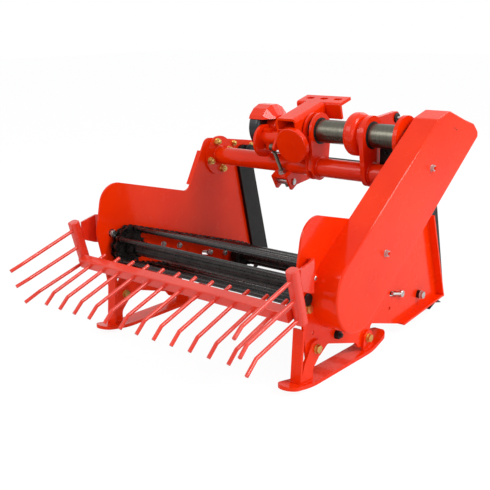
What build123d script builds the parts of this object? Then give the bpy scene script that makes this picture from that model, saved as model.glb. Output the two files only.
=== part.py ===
from build123d import *
import math
import os

os.makedirs("parts", exist_ok=True)

# Towed single-row potato digger. X is the machine's right, Y forward to the tractor, Z up.
# All shapes are drawn with x = 0 midway between the side plates and z = 0 under the skids,
# and the finished model is then moved so that its origin is the bottom centre of its box.
# A pair (y, z) names a place in the side view. Angles are in degrees, lengths in millimetres.

# ---- clearances
SEAT = 0.3  # between curved faces that seat on each other
RUNNING = 0.3  # between a shaft and what it turns in
SIDE_GAP = 1.0  # beside a plate that swings next to another

# ---- side plates
CHANNEL_WIDTH = 600.0
PLATE = 5.0
FLANGE = 18.0
TOWER_FLANGE = 11.0  # along the left plate's tall part
PLATE_REAR = (-139.0, 243.0)
PLATE_TOP_REAR = (-111.0, 372.0)
TOWER_FOOT = (187.0, 295.0)
TOWER_TOP_REAR = (264.0, 432.0)
TOWER_TOP_FRONT = (482.0, 398.0)
TOWER_NOTCH = (400.0, 338.0)
PLATE_WAIST = (412.0, 270.0)
PLATE_TOE = (486.0, 41.0)
PLATE_HEEL = (278.0, 22.0)
REAR_CORNER_RADIUS = 54.0
TOWER_RADIUS = 26.0
SKIRT_HOLE = (-80.0, 111.0)
SPARE_HOLE = (235.0, 74.0)
SMALL_HOLE_D = 8.5
TENSION_SLOT = (240.0, 109.0)
TENSION_SLOT_LENGTH = 24.0
TENSION_SLOT_WIDTH = 12.0
TENSION_SLOPE = -15.0

# ---- cross tube between the side plates
CROSS_TUBE = (312.5, 377.5)
CROSS_TUBE_D = 48.3
CROSS_TUBE_WALL = 3.6
TUBE_FLANGE_R = 54.0
TUBE_FLANGE = 6.0
TUBE_BOLT_CIRCLE_R = 40.0
BOLT_HOLE_D = 11.0

# ---- guide tube that the hitch head turns about
GUIDE_RISE = 92.5
GUIDE_TUBE_D = 58.0
GUIDE_TUBE_WALL = 6.0
BUSH_WALL = 4.0
LEG_X = (26.0, 50.0)
LEG_PLATE = 6.0
LEG_WIDTH = 64.0
LEG_RING_R = 45.0
LEG_FOOT_R = 33.0
COLLAR_WIDTH = 35.0
COLLAR_GAP = 11.0  # from the collar to the lobe plate
COLLAR_R = 53.0
COLLAR_ROUND = 13.0
COLLAR_SPIGOT_R = 40.0
LOBE_PLATE = 12.0
LOBE_INSET = 99.0  # from the right plate to the lobe plate
LOBE_RING_R = 47.0
EAR_REACH = (110.0, 31.0)  # from the guide tube's axis to the eye
EAR_R = 16.0
EYE_BORE_D = 12.0
END_DISC = 10.0
END_DISC_GAP = 7.0  # from the disc to the right plate
END_DISC_R = 53.0
HUB_D = 45.0

# ---- chain cover on the right plate
COVER_LOW = (0.0, 190.0)
COVER_WIDTH = 175.0
COVER_ANGLE = 34.6
COVER_DEPTH = 60.0
COVER_WALL = 2.5
COVER_BACK = 3.0
COVER_LENGTH = 597.0  # along the cover's own axis, from its lower centre
COVER_EDGE_ROUND = 4.0
COVER_STUDS = ((296.0, 410.0), (100.0, 253.0))  # threaded ends that hold the cover on
STUD_D = 8.0
STUD_REACH = 12.0

# ---- stop plate standing on the front of the cross tube, behind the guide tube
STOP_PLATE = 8.0
STOP_GAP = 6.0  # from the lobe plate to the stop plate
STOP_WIDTH = 45.0
STOP_DROP = 12.0  # of its foot below the cross tube's axis
STOP_TOP = 24.0  # of its top below the guide tube's axis

# ---- hitch head, drawn level about the guide tube's axis and then tilted nose up
HEAD_TILT = 14.5
HEAD_X = (-42.0, 22.0)
HEAD_PLATE = 6.0
HEAD_TOP = 50.5
HEAD_BOTTOM = -47.0
HEAD_REAR = -60.0
HEAD_FRONT = 70.0
HEAD_BEND = 12.0
HOUSING_TOP = 20.0
CAP_R = 46.0
CAP_DEPTH = 14.0
CAP_X = 5.0
CAP_RISE = -16.6
ANGLE_LENGTH = 136.0
ANGLE_FLANGE = 52.0
ANGLE_WEB = 42.0
ANGLE_PLATE = 8.0
SLOT_PITCH = 43.0
SLOT_LENGTH = 24.0
SLOT_WIDTH = 14.0
SLOT_COUNT = 3

# ---- input side of the head: neck, splined stub, guard and hood, all on the guide tube's axis
NECK_R = 24.0
NECK_END = -110.0
STUB_D = 34.9  # 1 3/8 inch
STUB_LENGTH = 34.0
STUB_SHOULDER = 10.0
SPLINE_COUNT = 6
SPLINE_GROOVE = 8.6
SPLINE_DEPTH = 2.6
LOCK_GROOVE = 5.0  # round groove for the yoke's catch
GUARD_R = 56.0
GUARD_WALL = 4.0
GUARD_X = (-139.0, -107.0)
GUARD_ROUND = 12.0
HOOD_RIM_R = 60.0
HOOD_CROWN_R = 32.0
HOOD_X = (-141.0, -98.0, -80.0)  # rim, shoulder, crown
HOOD_SHEET = 2.5
HOOD_SIDES = 16
HOOD_CUT = 24.0  # lower edge, above the axis

# ---- side boss of the head, with its disc, rib and screw lug
BOSS_D = 35.0
BOSS_PLACE = (-47.0, -10.0)  # forward, up
BOSS_DISC_X = (-105.0, -97.0)
BOSS_DISC_R = 42.0
BOSS_DISC_DROP = 10.0
RIB_X = (-92.0, -70.0)
RIB_THICK = 14.0
LUG_D = 28.0
LUG_DROP = 30.0

# ---- adjusting screw between the gearbox boss and the clevis under the cross tube
SCREW_X = -54.0
SCREW_SLOPE = -60.3
SCREW_CLEARANCE = 3.0  # between the screw and the cross tube
SCREW_RISE = 77.0  # of its eye up the line from beside the cross tube
SCREW_FALL = 5.8  # of the clevis down the line from there
SCREW_D = 10.0
SCREW_TAIL = 46.0
SCREW_EYE_D = 18.0
SCREW_EYE_WIDTH = 11.0
SCREW_PIN_D = 8.0
EAR_PLATE = 6.0
CLEVIS_WIDTH = 52.0
CLEVIS_PLATE = 6.0
CLEVIS_DROP = 27.0  # from the web to the cross pin
CLEVIS_LENGTH = 43.0
CLEVIS_REAR = 17.0  # from the screw to the clevis's rear edge
CLEVIS_FRONT = 8.0
CLEVIS_ROUND = 4.0
ARM_REACH = 80.0  # of the clevis's arm ahead of the cross tube
ARM_FALL = 8.0  # of the arm's end below the tube
ARM_END = 14.0
ARM_START = 41.0  # angle on the tube's front where the arm leaves it
CLEVIS_PIN_D = 10.0
TRUNNION_D = 19.0
SCREW_HOLE_D = 13.0

# ---- web conveyor, its shaft and roller
WEB_REAR = (-54.0, 197.0)
WEB_FRONT = (375.0, 72.0)
WEB_REAR_R = 40.0  # under the chain
WEB_FRONT_R = 28.0
CHAIN_THICK = 12.0
CHAIN_WIDTH = 20.0
CHAIN_GAP = 9.0  # from the chain to the side plate
ROD_COUNT = 20
ROD_D = 11.0
SHAFT_D = 36.0
SPROCKET = 10.0
HUB_DISC_D = 45.0
HUB_DISC = 24.0
HUB_DISC_GAP = 4.0
ROLLER_SHAFT_D = 20.0
BEARING_R = 34.0
BEARING_DEPTH = 18.0

# ---- share and its arms
ARM_PLATE = 10.0
ARM_WIDTH = 60.0
ARM_TOP = (417.0, 364.0)
SHARE_REAR = (434.0, 66.0)
SHARE_TIP = (538.0, 1.0)
SHARE_PLATE = 10.0
ARM_SETBACK = 46.0  # of the arm's foot behind the share's tip
FRONT_BAR = (435.0, 372.0)  # bar between the tops of the arms
FRONT_BAR_D = 18.0

# ---- skids
SKID_WIDTH = 49.0
SKID_OUTREACH = 16.0  # of the right skid beyond the side plate
LEFT_SPACER = 13.0  # between the left plate and the leg, which is on its inside
SPACER_D = 24.0
SKID_PLATE = 8.0
SKID_FLAT = (-102.0, 136.0)
SKID_HEEL = (-176.0, 14.0)
SKID_TOE = (206.0, 23.0)
STRAP = 6.0
STRAP_BOLT = (-75.0, 75.0)
LUG_BOLT = (131.0, 34.0)
STRAP_HOLE_D = 11.0
LUG_EDGE = 17.0  # of metal round the lug bolt
LEG_EDGE = 20.0  # of metal round the strap bolt
LEG_FLANGE_WIDTH = 26.0

# ---- rake behind the web
RAKE_PIVOT = (-92.0, 236.0)
RAKE_BAR = (-174.0, 180.0)
RAKE_BAR_SIZE = 25.0
RAKE_SLOPE = 18.6  # fall of the tines to the rear
TIP_SLOPE = 42.5
TINE_D = 8.5
TINE_COUNT = 12
TINE_PITCH = 50.7
TINE_FRONT = 28.0
TINE_REAR = 129.0
TIP_LENGTH = 34.0
POST_GAP = 11.5  # from the side plate to the post
POST_SIZE = 25.0
POST_LEAN = 14.7
POST_TOP = 103.0
POST_BOTTOM = -19.0
POST_OFFSET = 14.0  # of the posts ahead of the bar
BRACKET_PLATE = 5.0
BRACKET_FOOT = 22.0
BRACKET_LAP = 2.0  # of the bracket into the post, past its middle plane
BRACKET_SLANT = 16.0
BRACKET_TOP = 49.0  # above the pivot
BRACKET_LOW = 26.0  # below the pivot
BRACKET_NOSE = 8.0  # kept inside the sweep that clears the chain cover
PIVOT_BOLT_D = 10.0

# ---- sizes worked out from those above
INNER = CHANNEL_WIDTH / 2
OUTER = INNER + PLATE
LOBE_X = (INNER - LOBE_INSET - LOBE_PLATE, INNER - LOBE_INSET)
COLLAR_X = (LOBE_X[0] - COLLAR_GAP - COLLAR_WIDTH, LOBE_X[0] - COLLAR_GAP)
STOP_X = (LOBE_X[1] + STOP_GAP, LOBE_X[1] + STOP_GAP + STOP_WIDTH)
END_DISC_X = (INNER - END_DISC_GAP - END_DISC, INNER - END_DISC_GAP)
CHAIN_X = (INNER - CHAIN_GAP - CHAIN_WIDTH, INNER - CHAIN_GAP)
SPROCKET_X = (sum(CHAIN_X) / 2 - SPROCKET / 2, sum(CHAIN_X) / 2 + SPROCKET / 2)
HUB_DISC_X = (CHAIN_X[0] - HUB_DISC_GAP - HUB_DISC, CHAIN_X[0] - HUB_DISC_GAP)
SKID_X = (OUTER + SKID_OUTREACH - SKID_WIDTH, OUTER + SKID_OUTREACH)
LEFT_SHIFT = OUTER + STRAP - INNER + LEFT_SPACER
POST_X = OUTER + POST_GAP + POST_SIZE / 2
GUIDE = (CROSS_TUBE[0], CROSS_TUBE[1] + GUIDE_RISE)
COVER_X = OUTER + COVER_BACK


# ---- helpers
def stepped(place, distance, angle):
    """Place in the side view at a distance, at an angle up from forward."""
    turn = math.radians(angle)
    return (place[0] + distance * math.cos(turn), place[1] + distance * math.sin(turn))


def slope(start, finish):
    """Angle up from forward of the line between two places in the side view."""
    return math.degrees(math.atan2(finish[1] - start[1], finish[0] - start[0]))


SCREW_OFFSET = CROSS_TUBE_D / 2 + SCREW_CLEARANCE + SCREW_D / 2
SCREW_BESIDE = stepped(CROSS_TUBE, SCREW_OFFSET, SCREW_SLOPE - 90)
SCREW_PIVOT = stepped(SCREW_BESIDE, -SCREW_RISE, SCREW_SLOPE)
SCREW_WEB = stepped(SCREW_BESIDE, SCREW_FALL, SCREW_SLOPE)  # where it enters the clevis


def outline(rows):
    """Face in the side view from rows of (y, z, corner radius)."""
    points = [Vector(y, z) for y, z, radius in rows]
    edges = []
    last = len(rows)
    ends = []
    for i, (y, z, radius) in enumerate(rows):
        here = points[i]
        back = (points[i - 1] - here).normalized()
        ahead = (points[(i + 1) % last] - here).normalized()
        if radius == 0:
            ends.append((here, here, None))
            continue
        half = math.radians(back.get_angle(ahead)) / 2
        cut = radius / math.tan(half)
        middle = (back + ahead).normalized()
        arc_point = here + middle * (radius / math.sin(half) - radius)
        ends.append((here + back * cut, here + ahead * cut, arc_point))
    for i in range(last):
        start, finish, arc_point = ends[i]
        if arc_point is not None:
            edges.append(ThreePointArc(start, arc_point, finish))
        edges.append(Line(finish, ends[(i + 1) % last][0]))
    return make_face(Wire(edges)).face()


def plate(rows, x_low, x_high):
    """Flat piece between two planes across the machine."""
    face = outline(rows)
    if face.normal_at().Z < 0:
        face = -face
    return extrude(Plane.YZ.offset(x_low) * face, amount=x_high - x_low)


def disc(place, radius, x_low, x_high):
    """Round piece with its axis across the machine."""
    y, z = place
    middle = (x_low + x_high) / 2
    return Pos(middle, y, z) * Rot(0, 90, 0) * Cylinder(radius, x_high - x_low)


def block(x_range, y_range, z_range):
    sizes = [high - low for low, high in (x_range, y_range, z_range)]
    middle = [(high + low) / 2 for low, high in (x_range, y_range, z_range)]
    return Pos(*middle) * Box(*sizes)


def rod(start, finish, diameter):
    """Round bar between two points."""
    a, b = Vector(*start), Vector(*finish)
    return extrude(Plane(a, z_dir=b - a) * Circle(diameter / 2), amount=(b - a).length)


def strip(start, finish, thick):
    """Rows of a straight band along an edge, lying to the left of its direction."""
    a, b = Vector(*start), Vector(*finish)
    along = (b - a).normalized()
    side = Vector(-along.Y, along.X) * thick
    return [(p.X, p.Y, 0) for p in (a, b, b + side, a + side)]


def capsule(place_a, radius_a, place_b, radius_b, x_low, x_high):
    """Plate round two circles and the lines that touch both."""
    a, b = Vector(*place_a), Vector(*place_b)
    along = (b - a).normalized()
    side = Vector(-along.Y, along.X)
    lean = (radius_a - radius_b) / (b - a).length
    left = along * lean + side * math.sqrt(1 - lean**2)
    right = along * lean - side * math.sqrt(1 - lean**2)
    corners = [a + left * radius_a, b + left * radius_b, b + right * radius_b, a + right * radius_a]
    body = plate([(p.X, p.Y, 0) for p in corners], x_low, x_high)
    return body + disc(place_a, radius_a, x_low, x_high) + disc(place_b, radius_b, x_low, x_high)


def both_sides(nodes, name, shape):
    nodes[name + "_right"] = shape
    nodes[name + "_left"] = mirror(shape, about=Plane.YZ)


def round_bolt(bolt, edge, table):
    """Rows of an outline near a bolt, from steps forward and up and radii in edge widths."""
    return [(bolt[0] + y * edge, bolt[1] + z * edge, radius * edge) for y, z, radius in table]


# ---- side plates
def side_plate(flanged_edges):
    rows = [
        (*PLATE_REAR, 30),
        (*PLATE_TOP_REAR, REAR_CORNER_RADIUS),
        (*TOWER_FOOT, 22),
        (*TOWER_TOP_REAR, TOWER_RADIUS),
        (*TOWER_TOP_FRONT, 18),
        (TOWER_TOP_FRONT[0] - 4, TOWER_TOP_FRONT[1] - 48, 14),
        (*TOWER_NOTCH, 10),
        (*PLATE_WAIST, 20),
        (*PLATE_TOE, 6),
        (*PLATE_HEEL, 6),
    ]
    rows += round_bolt(
        LUG_BOLT,
        LUG_EDGE,
        [(1.12, 1.65, 0.47), (0.7, -1, 0.47), (-1.82, -1, 0.47), (-2.65, 0, 0.7)],
    )
    rows += round_bolt(
        STRAP_BOLT,
        LEG_EDGE,
        [(2.45, -0.3, 0.6), (1, -1.2, 0.6), (-1.4, -1.2, 0.7), (-2.2, 3.8, 1.5)],
    )
    body = plate(rows, INNER, OUTER)
    for start, finish, reach in flanged_edges:
        body += plate(strip(start, finish, PLATE), OUTER - PLATE / 2, OUTER + reach)
    through = (INNER - PLATE, OUTER + PLATE)
    holes = [
        (WEB_REAR, SHAFT_D + 2 * SEAT),
        (WEB_FRONT, ROLLER_SHAFT_D + 2 * SEAT),
        (RAKE_PIVOT, PIVOT_BOLT_D + 2 * SEAT),
        (STRAP_BOLT, STRAP_HOLE_D),
        (LUG_BOLT, STRAP_HOLE_D),
        (SKIRT_HOLE, SMALL_HOLE_D),
        (SPARE_HOLE, SMALL_HOLE_D),
    ]
    for place, diameter in holes:
        body -= disc(place, diameter / 2, *through)
    radius = TENSION_SLOT_WIDTH / 2
    slot_end = stepped(TENSION_SLOT, TENSION_SLOT_LENGTH, TENSION_SLOPE)
    return body - capsule(TENSION_SLOT, radius, slot_end, radius, *through)


def side_plates(nodes):
    front = [(PLATE_TOE, PLATE_WAIST, FLANGE), (PLATE_HEEL, PLATE_TOE, FLANGE)]
    rise = math.dist(TOWER_TOP_REAR, TOWER_FOOT)
    climb = slope(TOWER_FOOT, TOWER_TOP_REAR)
    fall = slope(TOWER_TOP_REAR, TOWER_TOP_FRONT)
    tower = [
        (
            stepped(TOWER_FOOT, rise - 1.5 * TOWER_RADIUS, climb),
            stepped(TOWER_FOOT, 0.75 * TOWER_RADIUS, climb),
            TOWER_FLANGE,
        ),
        (
            stepped(TOWER_TOP_FRONT, -TOWER_RADIUS, fall),
            stepped(TOWER_TOP_REAR, 1.5 * TOWER_RADIUS, fall),
            TOWER_FLANGE,
        ),
    ]
    nodes["side_plate_right"] = side_plate(front)
    nodes["side_plate_left"] = mirror(side_plate(front + tower), about=Plane.YZ)


# ---- cross tube, with the leg and the lobe plate that carry the guide tube
def cross_tube():
    end = INNER
    body = disc(CROSS_TUBE, CROSS_TUBE_D / 2, -end, end)
    for side in (-1, 1):
        near, far = sorted((side * (end - TUBE_FLANGE), side * end))
        body += disc(CROSS_TUBE, TUBE_FLANGE_R, near, far)
        for angle in (15, 105, 195, 285):
            place = stepped(CROSS_TUBE, TUBE_BOLT_CIRCLE_R, angle)
            body -= disc(place, BOLT_HOLE_D / 2, near - 1, far + 1)
    return body - disc(CROSS_TUBE, CROSS_TUBE_D / 2 - CROSS_TUBE_WALL, -end - 1, end + 1)


def bored(body, x_low, x_high):
    """Cuts the seats of the guide tube's bush and of the cross tube."""
    body -= disc(GUIDE, GUIDE_TUBE_D / 2 + RUNNING + BUSH_WALL, x_low - 1, x_high + 1)
    return body - disc(CROSS_TUBE, CROSS_TUBE_D / 2 + SEAT, x_low - 1, x_high + 1)


def centre_leg():
    low, high = LEG_X
    cheeks = []
    for near, far in ((low, low + LEG_PLATE), (high - LEG_PLATE, high)):
        cheek = capsule(GUIDE, LEG_RING_R, CROSS_TUBE, LEG_FOOT_R, near, far)
        cheeks.append(cheek)
    rear = CROSS_TUBE[0] - LEG_WIDTH / 2
    web = block((low, high), (rear, rear + LEG_PLATE), (CROSS_TUBE[1] - 6, GUIDE[1] + 4))
    sides = []
    for near, far in ((low, low + LEG_PLATE), (high - LEG_PLATE, high)):
        sides.append(block((near, far), (rear, GUIDE[0]), (CROSS_TUBE[1] - 6, GUIDE[1] + 4)))
    return bored(web + cheeks + sides, low, high)


def lobe_plate():
    low, high = LOBE_X
    eye = (GUIDE[0] + EAR_REACH[0], GUIDE[1] + EAR_REACH[1])
    body = capsule(GUIDE, LOBE_RING_R, CROSS_TUBE, LEG_FOOT_R, low, high)
    body += capsule(GUIDE, LOBE_RING_R - 8, eye, EAR_R, low, high)
    body -= disc(eye, EYE_BORE_D / 2, low - 1, high + 1)
    return bored(body, low, high)


def stop_plate():
    near = CROSS_TUBE[0] + CROSS_TUBE_D / 2 + SEAT
    return block(STOP_X, (near, near + STOP_PLATE), (CROSS_TUBE[1] - STOP_DROP, GUIDE[1] - STOP_TOP))


def guide_bushes():
    rings = []
    for low, high in (LEG_X, LOBE_X):
        outer = disc(GUIDE, GUIDE_TUBE_D / 2 + RUNNING + BUSH_WALL - SEAT, low, high + 2)
        rings.append(outer - disc(GUIDE, GUIDE_TUBE_D / 2 + RUNNING, low - 1, high + 3))
    return Compound(children=rings)


def guide_tube():
    outer = disc(GUIDE, GUIDE_TUBE_D / 2, HEAD_X[1], END_DISC_X[0])
    return outer - disc(GUIDE, GUIDE_TUBE_D / 2 - GUIDE_TUBE_WALL, HEAD_X[1] - 1, END_DISC_X[0] + 1)


def collar_ring():
    low, high = COLLAR_X
    ring = disc(GUIDE, COLLAR_R, low, high)
    ring = fillet(ring.edges().filter_by(GeomType.CIRCLE), COLLAR_ROUND)
    ring += disc(GUIDE, COLLAR_SPIGOT_R, high - COLLAR_ROUND, LOBE_X[0] - SIDE_GAP)
    return ring - disc(GUIDE, GUIDE_TUBE_D / 2 + SEAT, low - 1, LOBE_X[0])


def end_disc():
    low, high = END_DISC_X
    return disc(GUIDE, END_DISC_R, low, high) + disc(GUIDE, HUB_D / 2, high, COVER_X + 6)


# ---- chain cover: a sheet shell with its own back plate
def cover_rows(inset):
    """Outline of the cover, from its lower round end to its top."""
    half = COVER_WIDTH / 2 - inset
    table = [  # along the cover's axis, across it, corner radius
        (-half, -half, half - 1),
        (COVER_LENGTH - 7 - inset, -half, 6),
        (COVER_LENGTH - inset, -half * 0.86, 8),
        (COVER_LENGTH - 8 - inset, -half * 0.5, 12),
        (COVER_LENGTH - 40 - inset, -half * 0.05, 14),
        (COVER_LENGTH - 92 - inset, half * 0.76, 14),
        (COVER_LENGTH - 147, half, 16),
        (-half, half, half - 1),
    ]
    rows = []
    for along, across, radius in table:
        place = stepped(stepped(COVER_LOW, along, COVER_ANGLE), across, COVER_ANGLE + 90)
        rows.append((*place, radius))
    return rows


def chain_cover():
    body = plate(cover_rows(0), COVER_X, COVER_X + COVER_DEPTH)
    face = body.faces().sort_by(Axis.X)[-1]
    body = fillet(face.edges(), COVER_EDGE_ROUND)
    inside = plate(cover_rows(COVER_WALL), COVER_X - 1, COVER_X + COVER_DEPTH - COVER_WALL)
    body -= inside
    for place in COVER_STUDS:
        low = COVER_X + COVER_DEPTH - COVER_WALL
        body += disc(place, STUD_D / 2, low, COVER_X + COVER_DEPTH + STUD_REACH)
    return body


def cover_back():
    body = plate(cover_rows(0), OUTER, COVER_X)
    body -= disc(GUIDE, HUB_D / 2 + SIDE_GAP, OUTER - 1, COVER_X + 1)
    return body - disc(WEB_REAR, SHAFT_D / 2 + SEAT, OUTER - 1, COVER_X + 1)


# ---- hitch head, in its own level frame: (forward, up) from the guide tube's axis
def on_head(shape):
    return Pos(0, *GUIDE) * Rot(HEAD_TILT, 0, 0) * shape


def hitch_bracket():
    low, high = HEAD_X
    outer = block((low, high), (HEAD_REAR, HEAD_FRONT), (HEAD_BOTTOM, HEAD_TOP))
    top_edges = outer.edges().filter_by(Axis.Y).group_by(Axis.Z)[-1]
    outer = fillet(top_edges, HEAD_BEND)
    inner = block(
        (low + HEAD_PLATE, high - HEAD_PLATE),
        (HEAD_REAR - 1, HEAD_FRONT + 1),
        (HEAD_BOTTOM - 1, HEAD_TOP - HEAD_PLATE),
    )
    inner = fillet(inner.edges().filter_by(Axis.Y).group_by(Axis.Z)[-1], HEAD_BEND - HEAD_PLATE)
    return on_head(outer - inner)


def hitch_housing():
    low, high = HEAD_X
    inside = (low + HEAD_PLATE, high - HEAD_PLATE)
    body = block(inside, (HEAD_REAR, HEAD_FRONT - 8), (HEAD_BOTTOM, HOUSING_TOP))
    cap = Pos(CAP_X, HEAD_REAR - CAP_DEPTH / 2, CAP_RISE) * Rot(90, 0, 0) * Cylinder(CAP_R, CAP_DEPTH)
    cap = fillet(cap.edges().sort_by(Axis.Y)[0], 3)
    return on_head(body + cap)


def hitch_angle():
    half = ANGLE_LENGTH / 2
    top = HEAD_TOP - 3
    flange = block((-half, half), (HEAD_FRONT, HEAD_FRONT + ANGLE_FLANGE), (top - ANGLE_PLATE, top))
    web = block((-half, half), (HEAD_FRONT, HEAD_FRONT + ANGLE_PLATE), (top - ANGLE_WEB, top))
    body = flange + web
    bend = body.edges().filter_by(Axis.X).sort_by(lambda edge: edge.center().Z - edge.center().Y)[-1]
    body = fillet(bend, ANGLE_PLATE - 1)
    for i in range(SLOT_COUNT):
        x = (i - (SLOT_COUNT - 1) / 2) * SLOT_PITCH
        y = HEAD_FRONT + ANGLE_PLATE + (ANGLE_FLANGE - ANGLE_PLATE) / 2
        cut = SlotOverall(SLOT_LENGTH, SLOT_WIDTH)
        body -= Pos(x, y, top - ANGLE_PLATE - 1) * extrude(cut, amount=ANGLE_PLATE + 2)
    return on_head(body)


def head_place(place):
    """Side-view place of a point given in the head's own frame."""
    turn = math.radians(HEAD_TILT)
    forward, up = place
    y = GUIDE[0] + forward * math.cos(turn) - up * math.sin(turn)
    return (y, GUIDE[1] + forward * math.sin(turn) + up * math.cos(turn))


def input_neck():
    """Neck on the guide tube's axis, joined by a rib to the boss below it."""
    neck = disc(GUIDE, NECK_R, NECK_END, HEAD_X[0])
    forward, up = BOSS_PLACE
    boss = disc(BOSS_PLACE, BOSS_D / 2, BOSS_DISC_X[1], HEAD_X[0])
    flange = disc((forward, up - BOSS_DISC_DROP), BOSS_DISC_R, *BOSS_DISC_X)
    rib_y = (forward - RIB_THICK / 2, forward + RIB_THICK / 2)
    rib = block(RIB_X, rib_y, (up, up + NECK_R))
    web = block((RIB_X[1] - PLATE, RIB_X[1]), (forward, -NECK_R / 2), (up, NECK_R / 4))
    lug_x = (RIB_X[0] + RIB_X[1]) / 2
    lug = Pos(lug_x, forward, up - LUG_DROP / 2) * Cylinder(LUG_D / 2, LUG_DROP)
    body = on_head(boss + flange + rib + web + lug)
    ear_x = (HEAD_X[0] - EAR_PLATE, HEAD_X[0])
    ear = capsule(head_place(BOSS_PLACE), BOSS_D / 2, SCREW_PIVOT, SCREW_EYE_D / 2, *ear_x)
    pin_end = SCREW_X - SCREW_EYE_WIDTH / 2 - 4
    pin = disc(SCREW_PIVOT, SCREW_PIN_D / 2, pin_end, ear_x[0])
    return neck + body + ear + pin


def pto_stub():
    end = NECK_END - RUNNING
    body = disc(GUIDE, STUB_D / 2, end - STUB_LENGTH, end)
    for i in range(SPLINE_COUNT):
        groove = Box(STUB_LENGTH, SPLINE_GROOVE, SPLINE_DEPTH * 2)
        groove = Pos(end - STUB_SHOULDER - STUB_LENGTH / 2, 0, STUB_D / 2) * groove
        body -= Pos(0, *GUIDE) * Rot(i * 360 / SPLINE_COUNT, 0, 0) * groove
    lock = (end - STUB_SHOULDER - LOCK_GROOVE, end - STUB_SHOULDER)
    ring = disc(GUIDE, STUB_D / 2 + 1, *lock) - disc(GUIDE, STUB_D / 2 - SPLINE_DEPTH, *lock)
    return body - ring


def pto_guard():
    low, high = GUARD_X
    body = disc(GUIDE, GUARD_R, low, high)
    body = fillet(body.edges().sort_by(Axis.X)[-1], GUARD_ROUND)
    inner = disc(GUIDE, GUARD_R - GUARD_WALL, low - 1, high - GUARD_WALL)
    inner = fillet(inner.edges().sort_by(Axis.X)[-1], GUARD_ROUND - GUARD_WALL)
    return body - inner - disc(GUIDE, NECK_R + SEAT, low - 1, high + 1)


def hood_form(inset):
    """Faceted skirt and cone of the hood, shrunk by the sheet's thickness."""
    rim, shoulder, crown = HOOD_X
    faces = []
    for x, radius in ((rim, HOOD_RIM_R), (shoulder, HOOD_RIM_R), (crown - inset, HOOD_CROWN_R)):
        ring = RegularPolygon(radius - inset, HOOD_SIDES, rotation=180 / HOOD_SIDES)
        faces.append(Pos(x, *GUIDE) * Rot(0, 90, 0) * ring)
    return loft(faces[:2], ruled=True) + loft(faces[1:], ruled=True)


def guard_hood():
    rim, shoulder, crown = HOOD_X
    body = hood_form(0) - hood_form(HOOD_SHEET)
    body -= disc(GUIDE, HOOD_RIM_R * math.cos(math.pi / HOOD_SIDES) - HOOD_SHEET, rim - 1, shoulder - 1)
    body -= disc(GUIDE, NECK_R + SEAT, rim - 1, crown + 1)
    reach = HOOD_RIM_R + 5
    lower = block(
        (rim - 1, crown + 1),
        (GUIDE[0] - reach, GUIDE[0] + reach),
        (GUIDE[1] - reach, GUIDE[1] + HOOD_CUT),
    )
    return body - lower


# ---- adjusting screw and the clevis that its lower end runs in
def clevis_place(down, across):
    """Place measured from where the screw enters the clevis: down the screw, and forward of it."""
    return stepped(stepped(SCREW_WEB, down, SCREW_SLOPE), across, SCREW_SLOPE + 90)


CLEVIS_PIN = clevis_place(CLEVIS_DROP, 0)


def adjusting_screw():
    end = stepped(SCREW_WEB, SCREW_TAIL, SCREW_SLOPE)
    body = rod((SCREW_X, *SCREW_PIVOT), (SCREW_X, *end), SCREW_D)
    half = SCREW_EYE_WIDTH / 2
    body += disc(SCREW_PIVOT, SCREW_EYE_D / 2, SCREW_X - half, SCREW_X + half)
    return body - disc(SCREW_PIVOT, SCREW_PIN_D / 2 + RUNNING, SCREW_X - half - 1, SCREW_X + half + 1)


def clevis():
    low, high = SCREW_X - CLEVIS_WIDTH / 2, SCREW_X + CLEVIS_WIDTH / 2
    rear, front = -CLEVIS_REAR, CLEVIS_FRONT
    arm_top = (CROSS_TUBE[0] + ARM_REACH, CROSS_TUBE[1] - CROSS_TUBE_D / 2 - ARM_FALL)
    shoulder = stepped(CROSS_TUBE, CROSS_TUBE_D / 2 - CLEVIS_ROUND, -ARM_START)
    cheek = [
        (*clevis_place(0, rear), CLEVIS_ROUND),
        (*clevis_place(CLEVIS_LENGTH, rear), CLEVIS_ROUND),
        (*clevis_place(CLEVIS_LENGTH, front), CLEVIS_ROUND),
        (arm_top[0], arm_top[1] - ARM_END, CLEVIS_ROUND),
        (*arm_top, CLEVIS_ROUND),
        (*shoulder, 0),
        (*clevis_place(0, front), 0),
    ]
    body = plate(cheek, low, low + CLEVIS_PLATE) + plate(cheek, high - CLEVIS_PLATE, high)
    web_rows = [
        (*clevis_place(0, rear), 0),
        (*clevis_place(CLEVIS_PLATE, rear), 0),
        (*clevis_place(CLEVIS_PLATE, front), 0),
        (*clevis_place(0, front), 0),
    ]
    body += plate(web_rows, low, high)
    body -= disc(CROSS_TUBE, CROSS_TUBE_D / 2 + SEAT, low - 1, high + 1)
    body -= disc(CLEVIS_PIN, CLEVIS_PIN_D / 2 + SEAT, low - 1, high + 1)
    start = clevis_place(-2 * CLEVIS_PLATE, 0)
    finish = clevis_place(2 * CLEVIS_PLATE, 0)
    return body - rod((SCREW_X, *start), (SCREW_X, *finish), SCREW_HOLE_D)


def clevis_trunnion():
    reach = CLEVIS_WIDTH / 2
    inside = reach - CLEVIS_PLATE - SEAT
    body = disc(CLEVIS_PIN, TRUNNION_D / 2, SCREW_X - inside, SCREW_X + inside)
    body += disc(CLEVIS_PIN, CLEVIS_PIN_D / 2, SCREW_X - reach - 3, SCREW_X + reach + 3)
    start = stepped(CLEVIS_PIN, -TRUNNION_D, SCREW_SLOPE)
    finish = stepped(CLEVIS_PIN, TRUNNION_D, SCREW_SLOPE)
    return body - rod((SCREW_X, *start), (SCREW_X, *finish), SCREW_D + 2)


# ---- web conveyor
def loop_band(offset, x_low, x_high):
    return capsule(WEB_REAR, WEB_REAR_R + offset, WEB_FRONT, WEB_FRONT_R + offset, x_low, x_high)


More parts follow.
